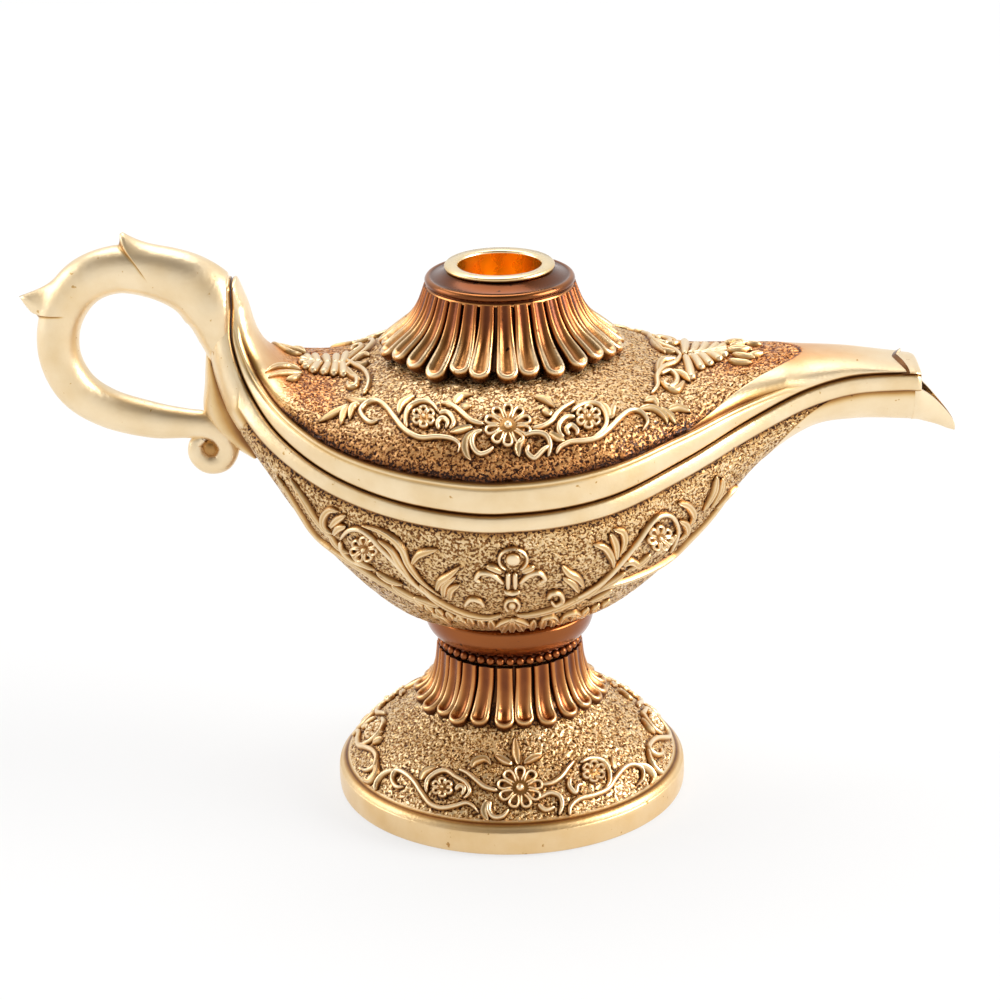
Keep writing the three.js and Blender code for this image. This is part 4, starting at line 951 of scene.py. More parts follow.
def lip_half(station):
    """Half width of the lip under the lid, which drops into the bowl."""
    half = hull(station)[0]
    sink = np.minimum(LIP_DEPTH / chamber_height(station), 1)
    return np.maximum(chamber_half(half) * np.sqrt(1 - sink * sink) - LIP_GAP, THINNEST)


def inside(station, upper):
    """The hollow behind a panel, from the far side back to the near side."""
    half, start, heading, height, edge = shell(station, upper)
    angle = np.linspace(0, np.pi, INNER_COLUMNS)
    if upper:
        open_share = within(station, HOLLOW_STATIONS)
        wide = np.maximum(lip_half(station) - LIP_WALL, THINNEST) * open_share
        deep = height - LID_ROOF
    else:
        open_share = within(station, CHAMBER_STATIONS, CHAMBER_FADE)
        wide = chamber_half(half) * open_share
        deep = chamber_height(station)
    rise = edge[:, None] + np.maximum(deep - edge, 0)[:, None] * open_share[:, None] * np.sin(angle)
    return place(start, heading, wide[:, None] * np.cos(angle), rise)


def normals(points):
    """Direction that stands on each point of a net."""
    return unit(np.cross(np.gradient(points, axis=0), np.gradient(points, axis=1)))


def open_ground(points):
    """Height of hammered ground, from 0 in its pits to 1 between them."""
    near = np.array([noise.voronoi(cell)[0][0] for cell in (points / PIT).tolist()])
    return smooth(near, *PIT_EDGE)


def shade(points, marks):
    """Painted shade beside raised strokes: 1 on open ground, down to 0 close to a raised stroke."""
    tree = KDTree(len(marks))
    for i, (mark, _) in enumerate(marks):
        tree.insert(mark, i)
    tree.balance()
    share = np.ones(len(points))
    for i, point in enumerate(points.tolist()):
        _, found, far = tree.find(point)
        share[i] = (far - marks[found][1] * STROKE_COVER) / HALO
    return smooth(share, 0, 1)


def hammer(points, out, ground, marks):
    """Points with hammered ground cut in, and the tone of each, with painted shade close to raised strokes.
    """
    flat = points.reshape(-1, 3).copy()
    ground = ground.ravel()
    tone = np.full(len(flat), PLAIN_TONE)
    where = np.flatnonzero(ground > GROUND_LEAST)
    height = open_ground(flat[where])
    flat[where] += out.reshape(-1, 3)[where] * (
        ground[where] * (PIT_DEPTH * (height - 0.5) - GROUND_RECESS))[:, None]
    # Painted shade: the ground darkens close to raised strokes
    halo = HALO_SHADE + (1 - HALO_SHADE) * shade(flat[where], marks)
    rough = (GROUND_TONE + GROUND_GAIN * height) * halo
    tone[where] = tone[where] * (1 - ground[where]) + rough * ground[where]
    return flat.reshape(points.shape), tone.reshape(points.shape[:2])


def lid_ground(points, climb):
    """Share of hammered ground on the lid: none on the spout and the tail."""
    x = points[..., 0]
    nose = LID_NOSE_LOW + (LID_NOSE_HIGH - LID_NOSE_LOW) * climb
    return smooth(x, nose, nose - GROUND_EDGE) * smooth(x, LID_TAIL, LID_TAIL + LID_TAIL_FADE)


def lid_warm(points, climb, ground):
    """Copper on the lid: low on the hammered ground, along the spout's ridge and on the tail's saddle."""
    x = points[..., 0]
    low = smooth(climb, *LOW_CLIMB) * ground * LOW_COPPER
    ridge = smooth(x, *RIDGE_START) * smooth(x, *RIDGE_END) * smooth(climb, *RIDGE_CLIMB)
    saddle = smooth(x, *SADDLE_START) * smooth(x, *SADDLE_END) * smooth(climb, *SADDLE_CLIMB)
    return np.clip(GROUND_COPPER * ground + low + ridge + saddle, 0, 1)


def bowl_ground(points, climb):
    """Share of hammered ground on the bowl: none on the spout and by the handle."""
    x = points[..., 0]
    nose = BOWL_NOSE_LOW - BOWL_NOSE_DROP * climb ** BOWL_NOSE_POWER
    tail = x - BOWL_TAIL_SLOPE * (points[..., 2] - BOWL_TAIL_Z)
    return smooth(x, nose, nose - BOWL_NOSE_FADE) * smooth(tail, BOWL_TAIL, BOWL_TAIL + BOWL_TAIL_FADE)


def panel_skin(upper, marks):
    """The lid's or the bowl's panel: hammered outside, hollow inside, one closed body."""
    points, station, climb, rise = panel(upper, PANEL_ROWS, PANEL_COLUMNS)
    out = normals(points) * (1 if upper else -1)
    ground = (lid_ground if upper else bowl_ground)(points, climb)
    warm = lid_warm(points, climb, ground) if upper else BOWL_COPPER * ground
    rim = 4 * ground * (1 - ground) * (points[..., 0] > 0)
    points, tone = hammer(points, out, ground, marks)
    tone = tone * (1 - NOSE_LINE * rim)
    # Painted shade: a dark strip along the panel where it tucks under its band
    tone = tone * (1 - PANEL_LINE * edged(station, upper)[:, None] * np.exp(-((rise / PANEL_SHADE) ** 2)))
    if upper:
        low = LID_LOW_SHADE * ground * smooth(climb, *LID_LOW_CLIMB)
        tone = tone * (1 - low - LID_WARM_SHADE * warm * (1 - ground))
    hollow = inside(station, upper)
    loop = trim(np.concatenate([points, hollow], 1), upper)
    # The hollow behind the panel is painted dark as shade
    dull = np.full(hollow.shape[:2], HOLLOW_TONE)
    paints = [np.concatenate(pair, 1) for pair in ((tone, dull), (warm, dull), (ground, 0 * dull))]
    skin = Skin()
    skin.tube(loop, *paints)
    return skin


def band_skin(upper):
    """The two smooth bands along the seam, with the lip or the inner rim behind them."""
    station = even_stations(0, LID_LAST if upper else BOWL_LAST, PANEL_ROWS)
    half, start, heading, _, edge = shell(station, upper)
    share, proud, tone = band_line(station, edge, upper)
    tucked = set_back(station, half, upper) * BAND_TUCK
    outer = half[:, None] + proud * np.minimum(half / BULGE_HALF, 1)[:, None]
    if upper:
        open_share = within(station, LIP_STATIONS)
        lip = lip_half(station) * open_share
        depth = LIP_DEPTH * open_share
        inner = np.maximum(lip - LIP_WALL, HAIR)
        across = np.stack([tucked, inner, inner, lip + HAIR, lip + HAIR], 1)
        rise = np.stack([edge, edge, -depth, -depth, 0 * edge], 1)
    else:
        inner = chamber_half(half) * within(station, CHAMBER_STATIONS, CHAMBER_FADE) + HAIR
        across = np.stack([tucked, inner, inner], 1)
        rise = np.stack([edge, edge, 0 * edge], 1)
    # The lip and the seat in the seam's gap are painted dark as shade
    paint = np.concatenate([tone, np.full(rise.shape, SEAT_SHADE)], 1)
    across = np.concatenate([outer, across], 1)
    rise = np.concatenate([share * edge[:, None], rise], 1)
    skin = Skin()
    for side in (-1, 1):
        skin.tube(trim(place(start, heading, side * across, rise), upper), paint)
    return skin


# Raised ornament

def look(pixel):
    """Direction from the camera through a pixel of the picture."""
    u, v = pixel
    return AHEAD * FOCAL_PIXELS + ACROSS * (u - PICTURE / 2) + ALOFT * (PICTURE / 2 - v)


class Relief:
    """Strokes and flowers that stand on a surface, most of them placed by pixels of the picture."""

    def __init__(self, points):
        flat = points.reshape(-1, 3)
        net = np.arange(len(flat)).reshape(points.shape[:2])
        self.surface = BVHTree.FromPolygons(flat.tolist(), quads(net))
        nearest = self.surface.find_nearest(Vector(flat[flat[:, 1].argmin()]))
        self.outward = -1 if nearest[1].y > 0 else 1
        self.skin = Skin()
        self.marks = []

    def hit(self, pixel):
        """The point of the surface behind a pixel, or the nearest one beside it that faces the camera."""
        ray = Vector(unit(look(pixel)))
        eye = Vector(CAMERA_AT)
        spot, up, _, _ = self.surface.ray_cast(eye, ray)
        if spot is not None and self.outward * up.dot(ray) < 0:
            return np.array(spot)
        reaches = np.linspace(NEAREST, FARTHEST, REACH_STEPS)
        found = [self.surface.find_nearest(eye + ray * far) for far in reaches]
        found = [near for near in found if self.outward * near[1].dot(ray) < FACING]
        return np.array(min(found, key=lambda near: near[3])[0])

    def foot_of(self, point):
        """The nearest point of the surface and the direction that stands on it."""
        spot, up, _, _ = self.surface.find_nearest(Vector(point))
        return np.array(spot), np.array(up) * self.outward

    def stroke(self, pixels, kind):
        """A raised stroke through pixels of the picture."""
        self.lay([self.hit(pixel) for pixel in pixels], kind)

    def lay(self, knots, kind):
        """A raised stroke through points, rounded at its ends."""
        widths, height, crease = kind
        knots = np.array(knots)
        length = np.linalg.norm(np.diff(knots, axis=0), axis=1).sum()
        share = np.linspace(0, 1, max(int(length / STROKE_STEP), STROKE_LEAST))
        found = [self.foot_of(point) for point in spline(knots, share)]
        at = np.array([spot for spot, _ in found])
        up = np.array([direction for _, direction in found])
        side = unit(np.cross(up, np.gradient(at, axis=0)))
        first, middle, last = widths
        half = (first * (1 - share) * (1 - 2 * share) + middle * 4 * share * (1 - share)
                + last * share * (2 * share - 1))
        half = np.maximum(half * np.sqrt(np.clip(1 - (2 * share - 1) ** STROKE_ROUND, 0, 1)), STROKE_THIN)
        rise = np.array(STROKE_RISE) * height
        rise[STROKE_CREST] -= crease * height
        # Painted highlight on the crest, painted shade on the flanks and in the crease
        tone = np.array(STROKE_HIGHLIGHT_AND_SHADE)
        tone[STROKE_CREST] -= crease
        lift = rise * np.sqrt(np.minimum(half / middle, 1))[:, None]
        across = half[:, None] * np.array(STROKE_SIDES)
        points = at[:, None] + side[:, None] * across[..., None] + up[:, None] * lift[..., None]
        under = at[:, None] - up[:, None] * STROKE_SINK
        self.skin.tube(np.concatenate([points, under], 1), np.append(tone, STROKE_UNDER), STROKE_WARM)
        self.marks += [(tuple(point), wide) for point, wide in zip(at, half)]

    def ball(self, pixel, wide, tall, size, height, bright):
        """A low dome over a share of an ellipse of pixels."""
        u, v = pixel
        wide = wide * size
        tall = tall * size
        rings = np.linspace(BALL_START, 1, BALL_ROWS)
        turns = np.linspace(0, 2 * np.pi, BALL_COLUMNS, endpoint=False)
        points = np.empty((len(rings), len(turns), 3))
        for j, turn in enumerate(turns):
            for i, ring in enumerate(rings):
                spot = self.hit((u + wide * ring * math.cos(turn), v - tall * ring * math.sin(turn)))
                foot, up = self.foot_of(spot)
                points[i, j] = foot + up * (height * math.sqrt(1 - ring * ring) - STROKE_SINK * (ring == 1))
        # Painted shade: each dome darkens towards its foot
        self.skin.tube(points, (bright * (1 - BALL_FALL * rings ** BALL_POWER))[:, None], STROKE_WARM)

    def flower(self, u, v, wide, tall, petals):
        """A round button, with a ring of looped petals where it has any."""
        if petals == 0:
            self.ball((u, v), wide, tall, *BUTTON)
            self.stroke([(u + wide * math.cos(a), v - tall * math.sin(a)) for a in BUTTON_RING], PETAL)
            return
        self.ball((u, v), wide, tall, *FLOWER_DISH)
        self.ball((u, v), wide, tall, *FLOWER_EYE)
        spread = math.pi / petals
        for petal in range(petals):
            turn = 2 * math.pi * petal / petals + math.pi / 2
            path = []
            for far, lean in FLOWER_LOOP:
                angle = turn + lean * spread
                path.append((u + wide * far * math.cos(angle), v - tall * far * math.sin(angle)))
            self.stroke(path, PETAL)

    def draw(self, stems, stem_kind, leaves, flowers):
        """All strokes and flowers of one motif."""
        for path in stems:
            self.stroke(path, stem_kind)
        for path in leaves:
            self.stroke(path, LEAF)
        for flower in flowers:
            self.flower(*flower)

    def repeat(self, turns):
        """Copies of the motif under each matrix."""
        marks = list(self.marks)
        for turn in turns:
            self.marks += [(tuple(np.array(turn) @ np.array(mark)), wide) for mark, wide in marks]
        self.skin.repeat(turns)


def garland(relief):
    """Row of small leaves along the bowl's underside."""
    u, v = GARLAND_MIDDLE
    for share in np.linspace(-1, 1, GARLAND_LEAVES):
        at = np.array([u + GARLAND_HALF * share, v - GARLAND_SAG * share * share])
        lean = np.array([-share, GARLAND_LEAN])
        tip = at + (lean + [GARLAND_CURL * share, 0]) * GARLAND_LEAF / 2
        relief.stroke([at - lean * GARLAND_LEAF / 2, at, tip], LEAF)


MIRROR = [np.diag([1.0, -1.0, 1.0])]
THIRDS = [np.array(Matrix.Rotation(math.radians(turn), 3, "Z")) for turn in (120, 240)]


# Turned pieces and petals

def turned(profile, columns=TURN_COLUMNS, middle=0.0):
    """Points of a profile of radius and height, turned about an upright axis."""
    profile = np.asarray(profile, float)
    turn = np.linspace(0, 2 * np.pi, columns, endpoint=False)
    x = middle + profile[:, :1] * np.cos(turn)
    y = profile[:, :1] * np.sin(turn)
    return np.stack([x, y, np.broadcast_to(profile[:, 1:2], x.shape)], -1)


def lathe(skin, profile, tone, warm, middle=0.0):
    """Adds a closed profile turned about an upright axis."""
    skin.grid(turned(profile, middle=middle), tone, warm, close_rows=True, close_columns=True)


def fine(profile, rows):
    """A profile redrawn with many rows, smooth through its points."""
    return spline(profile, np.linspace(0, 1, rows))


def petal_ring(skin, count, phase, curve, top, drop, middle, tones, warms):
    """Hanging tongues round an axis, each with a raised rim along its edge."""
    radius, z = top
    flare, fall = drop
    rows = fine(curve, CURVE_ROWS)
    line = np.stack([radius + flare * rows[:, 0], z - fall * rows[:, 1]], -1)
    run = length_along(line)
    length = run[-1]
    tip = math.pi * line[-1, 0] / count - PETAL_GAP * PETAL_TIP_GAP
    side = np.linspace(0, length - tip, PETAL_SIDE)
    round_end = np.linspace(0, np.pi, PETAL_TIP)[1:-1]
    edge_t = np.concatenate([-np.ones(PETAL_SIDE), -np.cos(round_end), np.ones(PETAL_SIDE)])
    edge_s = np.concatenate([side, length - tip + tip * np.sin(round_end), side[::-1]])
    spine_s = np.minimum(edge_s, length - tip)
    inset, plain_rise, tone, hollow = np.array(PETAL_SECTION).T[..., None]
    plain_s = edge_s + (spine_s - edge_s) * inset
    t = edge_t * (1 - inset)
    low = smooth(plain_s / length, *PETAL_FADE)
    rise = plain_rise - PETAL_HOLLOW * hollow * low
    paint = tone * (tones[0] + (tones[1] - tones[0]) * low)
    warm = (warms[0] + (warms[1] - warms[0]) * low) * (1 - RIM_GOLD * (1 - hollow) * low)
    for petal in range(count):
        short = PETAL_UNEVEN * (0.5 + 0.5 * math.sin(PETAL_UNEVEN_TURN * petal * petal))
        s = plain_s * (1 - short)
        after = s + PETAL_SLOPE_STEP
        before = s - PETAL_SLOPE_STEP
        r, height = (np.interp(s, run, axis) for axis in line.T)
        slope_r, slope_z = (np.interp(after, run, axis) - np.interp(before, run, axis) for axis in line.T)
        size = np.hypot(slope_r, slope_z)
        r_out = r - slope_z / size * rise
        z_out = height + slope_r / size * rise
        half = np.minimum(math.pi * r / count - PETAL_GAP / 2, tip)
        lean = PETAL_LEAN * math.sin(PETAL_LEAN_TURN * petal) * low
        turn = phase + 2 * math.pi * petal / count + t * half / r + lean
        points = np.stack([middle + r_out * np.cos(turn), r_out * np.sin(turn), z_out], -1)
        index = skin.grid(points, paint, warm)
        skin.cap(np.concatenate([index[:, 0], index[::-1, -1]]))


def sphere(skin, centre, radius, tone, warm):
    """A small bead."""
    around = np.linspace(0, 2 * np.pi, BEAD_COLUMNS, endpoint=False)
    down = np.linspace(BEAD_POLE, np.pi - BEAD_POLE, BEAD_ROWS)[:, None]
    points = np.stack([np.sin(down) * np.cos(around), np.sin(down) * np.sin(around),
                       np.broadcast_to(np.cos(down), (BEAD_ROWS, BEAD_COLUMNS))], -1)
    skin.tube(np.array(centre) + radius * points, tone, warm)


def petal_base(skin, curve, top, drop, middle, inset, wall, bore):
    """Ring behind a ring of petals, painted dark as the shade in the gaps between and under them."""
    radius, z = top
    flare, fall = drop
    rows = fine(curve, BASE_FINE)[:BASE_ROWS]
    outer = np.stack([radius - inset[0] + flare * rows[:, 0] * BASE_FLARE,
                      z - fall * rows[:, 1] * BASE_FALL - inset[1]], -1)
    inner = np.stack([np.maximum(outer[:, 0] - wall[0], bore), outer[:, 1] - wall[1]], -1)[::-1]
    lathe(skin, np.concatenate([outer, inner]), PETAL_BASE_SHADE, BASE_WARM, middle)


def crown_skin():
    """Ring of petals on the lid."""
    skin = Skin()
    top = (CROWN_TOP_RADIUS, BOSS_Z)
    drop = (CROWN_FLARE, CROWN_DROP)
    petal_base(skin, CROWN_CURVE, top, drop, CROWN_AXIS, CROWN_INSET, CROWN_WALL, CROWN_BORE)
    petal_ring(skin, CROWN_PETALS, CROWN_PHASE, CROWN_CURVE, top, drop, CROWN_AXIS, CROWN_TONES, CROWN_WARMS)
    return skin


def skirt_skin():
    """Ring of petals on the foot."""
    skin = Skin()
    top = (SKIRT_TOP_RADIUS, FOOT_TOP)
    drop = (SKIRT_FLARE, SKIRT_DROP)
    petal_base(skin, SKIRT_CURVE, top, drop, 0.0, SKIRT_INSET, SKIRT_WALL, STEM_BORE)
    petal_ring(skin, SKIRT_PETALS, SKIRT_PHASE, SKIRT_CURVE, top, drop, 0.0, SKIRT_TONES, SKIRT_WARMS)
    return skin


def bead_skin():
    """Ring of beads above the foot's petals."""
    skin = Skin()
    edge = BEAD_CORE - BEAD_BEVEL
    core = [[STEM_BORE, BEAD_RING_Z], [edge, BEAD_RING_Z], [BEAD_CORE, BEAD_RING_Z + BEAD_BEVEL_Z],
            [BEAD_CORE, BEAD_RING_TOP - BEAD_BEVEL_Z], [edge, BEAD_RING_TOP], [STEM_BORE, BEAD_RING_TOP]]
    lathe(skin, core, BEAD_CORE_TONE, 1.0)
    level = (BEAD_RING_Z + BEAD_RING_TOP) / 2
    reach = BEAD_CORE + BEAD_SIZE * BEAD_STAND
    for bead in range(BEAD_COUNT):
        turn = 2 * math.pi * bead / BEAD_COUNT
        sphere(skin, (reach * math.cos(turn), reach * math.sin(turn), level), BEAD_SIZE, BEAD_TONE, 1.0)
    return skin


def stem_skin():
    """Round copper ring between the foot and the bowl."""
    lean = np.linspace(0, np.pi / 2, STEM_ROWS)
    outer = np.stack([BEAD_CORE + (STEM_RADIUS - BEAD_CORE) * np.sin(lean),
                      STEM_Z + STEM_BULGE * (1 - np.cos(lean))], -1)
    top = [[STEM_RADIUS + out, STEM_TOP + up] for out, up in STEM_RIM]
    bore = [[STEM_BORE, STEM_TOP], [STEM_BORE, STEM_Z]]
    skin = Skin()
    lathe(skin, np.concatenate([outer, top, bore]), STEM_TONE, 1.0)
    return skin


def collar_skin():
    """Ring that holds the cup: a dished top, a round rim and a thin lip above the petals."""
    skin = Skin()
    profile = fine([[COLLAR_RADIUS + out, COLLAR_Z + up] for out, up, _ in COLLAR_LINE], COLLAR_ROWS)
    tone = fine([[bright] for _, _, bright in COLLAR_LINE], COLLAR_ROWS)
    bore = [[BOSS_BORE + COLLAR_EASE, z] for z in (COLLAR_TOP, COLLAR_Z)]
    paint = np.concatenate([tone, np.full((len(bore), 1), COLLAR_BORE_TONE)])
    lathe(skin, np.concatenate([profile, bore]), paint, COLLAR_WARM, CROWN_AXIS)
    return skin


def cup_skin():
    """Flanged brass cup for the cone, open above and with a smoke hole below."""
    bore = CUP_RADIUS - CUP_WALL
    floor = CUP_UNDER + CUP_WALL
    rim = CUP_FLANGE_RADIUS
    flange = [[CUP_RADIUS, CUP_Z], [rim - CUP_BEVEL, CUP_Z], [rim, CUP_Z + CUP_BEVEL],
              [rim, CUP_TOP - CUP_EDGE], [rim - CUP_EDGE, CUP_TOP], [bore + CUP_LIP, CUP_TOP],
              [bore + CUP_LIP_IN, CUP_TOP - CUP_LIP_DOWN], [bore, CUP_TOP - CUP_LIP]]
    well = [[bore, CUP_TOP - CUP_WELL], [bore, floor + CUP_CURVE],
            [bore - CUP_CURVE_MIDDLE, floor + CUP_CURVE_MIDDLE], [bore - CUP_CURVE, floor],
            [CUP_HOLE + CUP_HOLE_BEVEL, floor], [CUP_HOLE, floor - CUP_HOLE_BEVEL], [CUP_HOLE, CUP_UNDER],
            [CUP_RADIUS - CUP_ROUND, CUP_UNDER], [CUP_RADIUS, CUP_UNDER + CUP_ROUND]]
    skin = Skin()
    # The well takes tone 0, a deep orange that is partly painted reflection of the cup's gold in itself
    paint = np.array(CUP_TONES + [0.0] * len(well))[:, None]
    lathe(skin, flange + well, paint, 0.0, CROWN_AXIS)
    return skin


def foot_profile():
    """The foot's outer line above its band, in many rows."""
    return fine(FOOT_SLOPE, SLOPE_ROWS)


def foot_skin(marks):
    """Bell foot: smooth edge band, hammered slope and plain underside."""
    slope = turned(foot_profile(), FOOT_COLUMNS)
    out = -normals(slope)
    run = np.linspace(0, 1, SLOPE_ROWS)[:, None]
    ground = np.broadcast_to(smooth(run, *FOOT_GROUND_LOW) * smooth(run, *FOOT_GROUND_HIGH), slope.shape[:2])
    slope, tone = hammer(slope, out, ground, marks)
    tone = tone * (1 - FOOT_SHADE * smooth(run, *FOOT_SHADE_RUN))
    bulge = np.linspace(0, np.pi, FOOT_BULGE_ROWS)
    tall = FOOT_STEP_Z - FOOT_BULGE_DROP - FOOT_LIFT
    band = np.stack([FOOT_RADIUS - FOOT_BULGE + FOOT_BULGE * np.sqrt(np.sin(bulge)),
                     FOOT_LIFT + FOOT_BULGE_LIFT + tall * (1 - np.cos(bulge)) / 2], -1)
    step = [[FOOT_RADIUS + across, FOOT_STEP_Z + up] for across, up, _ in FOOT_STEP]
    seat = FELT_RADIUS + FELT_EASE
    under = [[STEM_BORE, FELT_SEAT_Z], [seat, FELT_SEAT_Z], [seat, FOOT_LIFT]]
    edge = np.concatenate([under, band, step])
    # The foot's underside is painted dark as shade
    edge_tone = [SEAT_SHADE] * len(under) + [FOOT_BULGE_TONE] * len(band)
    edge_tone += [bright for _, _, bright in FOOT_STEP]
    edge_paint = np.broadcast_to(np.array(edge_tone)[:, None], (len(edge), FOOT_COLUMNS))
    top = turned([[STEM_BORE, FOOT_TOP]], FOOT_COLUMNS)
    points = np.concatenate([turned(edge, FOOT_COLUMNS), slope, top])
    paint = np.concatenate([edge_paint, tone, tone[-1:]])
    bare = np.zeros((len(edge), FOOT_COLUMNS))
    skin = Skin()
    skin.grid(points, paint, FOOT_WARM, close_rows=True, close_columns=True,
              pits=np.concatenate([bare, ground, bare[:1]]))
    return skin


def boss_into(skin):
    """Short tube on the lid that the crown and the cup stand on."""
    wall = [[BOSS_BORE, BOSS_FOOT], [BOSS_RADIUS, BOSS_FOOT], [BOSS_RADIUS, BOSS_Z - BOSS_BEVEL],
            [BOSS_RADIUS - BOSS_BEVEL, BOSS_Z], [BOSS_BORE + BOSS_BEVEL, BOSS_Z],
            [BOSS_BORE, BOSS_Z - BOSS_BEVEL]]
    # The boss is painted dark as the shade under the crown
    lathe(skin, wall, SEAT_SHADE, BOSS_WARM, CROWN_AXIS)


# Spout end

def mouth_contour(station):
    """Closed line round the spout at a station: roof, far band, belly and near band, with its tone."""
    station = np.asarray([station], float)
    angle = np.linspace(0, np.pi, ARCH_COLUMNS)
    half, start, heading, height, _ = shell(station, True)
    roof = place(start, heading, -half[:, None] * np.cos(angle), height[:, None] * np.sin(angle))[0]
    half, start, heading, height, edge = shell(station, False)
    share, proud, tone = band_line(station, edge, False)
    far_band = place(start, heading, half[:, None] + proud, share * edge[:, None])[0]
    wide = set_back(station, half, False)[:, None]
    fall = edge[:, None] + (height - edge)[:, None] * np.sin(angle)
    belly = place(start, heading, wide * np.cos(angle), fall)[0]
    near_band = far_band[::-1] * np.array([1, -1, 1])
    plain = np.full(ARCH_COLUMNS, PLAIN_TONE)
    paint = np.concatenate([plain, tone[0], plain, tone[0][::-1]])
    return np.concatenate([roof, far_band, belly, near_band]), paint


def mouth_skin():
    """Plain ring at the spout's end, with the smoke channel through it."""
    rows = [mouth_contour(station) for station in np.linspace(BOWL_LAST - 1, LAST, MOUTH_ROWS)]
    points = np.stack([line for line, _ in rows])
    seat = mouth_contour(BOWL_LAST)[0]
    points[:, ARCH_COLUMNS:, 1:] = seat[ARCH_COLUMNS:, 1:]
    paint = rows[-1][1]
    gap = LID_END + SEAT_GAP + LID_SLANT * np.abs(points[..., 1])
    roof = np.arange(points.shape[1]) < ARCH_COLUMNS
    points[..., 0] = np.maximum(points[..., 0], np.where(roof, gap, seat[:, 0]))
    centre = np.array([0, 0, CHANNEL_Z])
    front = points[-1]
    reach = np.linalg.norm(front[:, 1:] - centre[1:], axis=1)[:, None]
    ends = []
    for lean in np.linspace(MOUTH_ROUND_START, np.pi / 2, MOUTH_ROUND_ROWS):
        shrink = 1 - MOUTH_ROUND * (1 - math.cos(lean)) / reach
        ring = centre + (front - centre) * shrink
        ring[:, 0] = front[:, 0] - MOUTH_ROUND * (1 - math.sin(lean))
        ends.append(ring)
    points = points[points[:, ARCH_COLUMNS // 2, 0] < MOUTH_X - MOUTH_ROUND]
    around = np.arctan2((front[:, 2] - CHANNEL_Z) / CHANNEL_HALF_HEIGHT, front[:, 1] / CHANNEL_HALF_WIDTH)
    for depth, grow in CHANNEL_RINGS:
        x = np.full(len(around), MOUTH_X - depth)
        y = CHANNEL_HALF_WIDTH * grow * np.cos(around)
        z = CHANNEL_Z + CHANNEL_HALF_HEIGHT * grow * np.sin(around)
        ends.append(np.stack([x, y, z], -1))
    loop = np.concatenate([points, np.stack(ends)])
    tone = np.tile(paint, (len(loop), 1))
    # Painted shade: the mouth's back edge in the lid's joint and the inside of the smoke channel are dark
    tone[0, roof] = MOUTH_BACK_SHADE
    tone[-2:] = CHANNEL_SHADE
    skin = Skin()
    skin.grid(loop, tone, close_rows=True, close_columns=True)
    return skin


def beak_skin():
    """Open lip under the mouth, which the smoke pours from."""
    along, wide, drop, high = np.moveaxis(fine(BEAK, BEAK_ROWS), -1, 0)
    angle = np.linspace(0, np.pi, ARCH_COLUMNS)
    x = MOUTH_X + along * BEAK_REACH
    keel = BEAK_KEEL - drop * BEAK_DROP
    half = wide * BEAK_HALF
    tall = high * BEAK_SIDE
    wall = np.minimum(BEAK_WALL, np.minimum(half, tall) * BEAK_WALL_SHARE)
    top = keel + tall

    def arch(inset):
        y = -(half - inset)[:, None] * np.cos(angle)
        z = top[:, None] - (tall - inset)[:, None] * np.sin(angle)
        return np.stack([np.broadcast_to(x[:, None], y.shape), y, z], -1)

    loop = np.concatenate([arch(0 * wall), arch(wall)[:, ::-1]], 1)
    skin = Skin()
    skin.tube(loop, np.repeat([PLAIN_TONE, BEAK_INSIDE_TONE], ARCH_COLUMNS))
    return skin


# Handle

def tube_into(skin):
    """The handle's tube, with two pointed flaps on its outside and a curl at its end."""
    last = len(HANDLE_PATH) - 1
    steps = [np.linspace(0, last, HANDLE_ROWS)]
    steps += [[flap[0] - FLAP_STEP, flap[0] + FLAP_STEP] for flap in FLAPS]
    knot = np.sort(np.concatenate(steps))[:, None]
    turn = np.linspace(0, 2 * np.pi, HANDLE_COLUMNS, endpoint=False)
    outer = (1 - np.cos(turn)) / 2
    lift = 0 * (knot + turn)
    slid = knot + lift
    tone = PLAIN_TONE + lift
    for edge, slant, first, peak, end, height, power, width in FLAPS:
        slid = slid - slant * np.minimum(1 - outer, FLAP_LIMIT) * np.exp(-(((knot - edge) / FLAP_RUN) ** 2))
        grown = np.exp(-np.maximum(edge - knot, 0) / FLAP_RUN) * (knot < edge)
        lift = lift + FLAP_THICK * grown * smooth(outer, *FLAP_SIDE)
        rise = np.clip((knot - first) / (peak - first), 0, 1) ** power
        fall = np.clip(1 - np.clip(knot - peak, 0, None) / (end - peak), 0, 1) ** FLAP_FALL
        lift = lift + height * rise * fall * np.exp(-(((turn - np.pi) / width) ** 2))
        # Painted shade: a dark line on the tube just past each flap's edge, under its step
        line = np.exp(-((np.maximum(knot - edge, 0) / FLAP_LINE) ** 2)) * (knot > edge)
        tone = tone - FLAP_EDGE_SHADE * line * smooth(outer, *FLAP_LINE_SIDE)
    here = spline(HANDLE_PATH, slid / last)
    step = spline(HANDLE_PATH, (slid + KNOT_STEP) / last) - spline(HANDLE_PATH, (slid - KNOT_STEP) / last)
    run = unit(step[..., :2])
    size = here[..., 2] + lift
    x = here[..., 0] - run[..., 1] * size * np.cos(turn)
    z = here[..., 1] + run[..., 0] * size * np.cos(turn)
    x = np.where(knot < ROOT_KNOT, np.minimum(x, SEAM_X), x)
    flat = FLATTEN + ROOT_WIDEN * smooth(knot, ROOT_KNOT, ROOT_FULL)
    y = (here[..., 2] + lift * FLAP_SPREAD) * flat * np.sin(turn)
    skin.tube(np.stack([x, y, z], -1), tone)


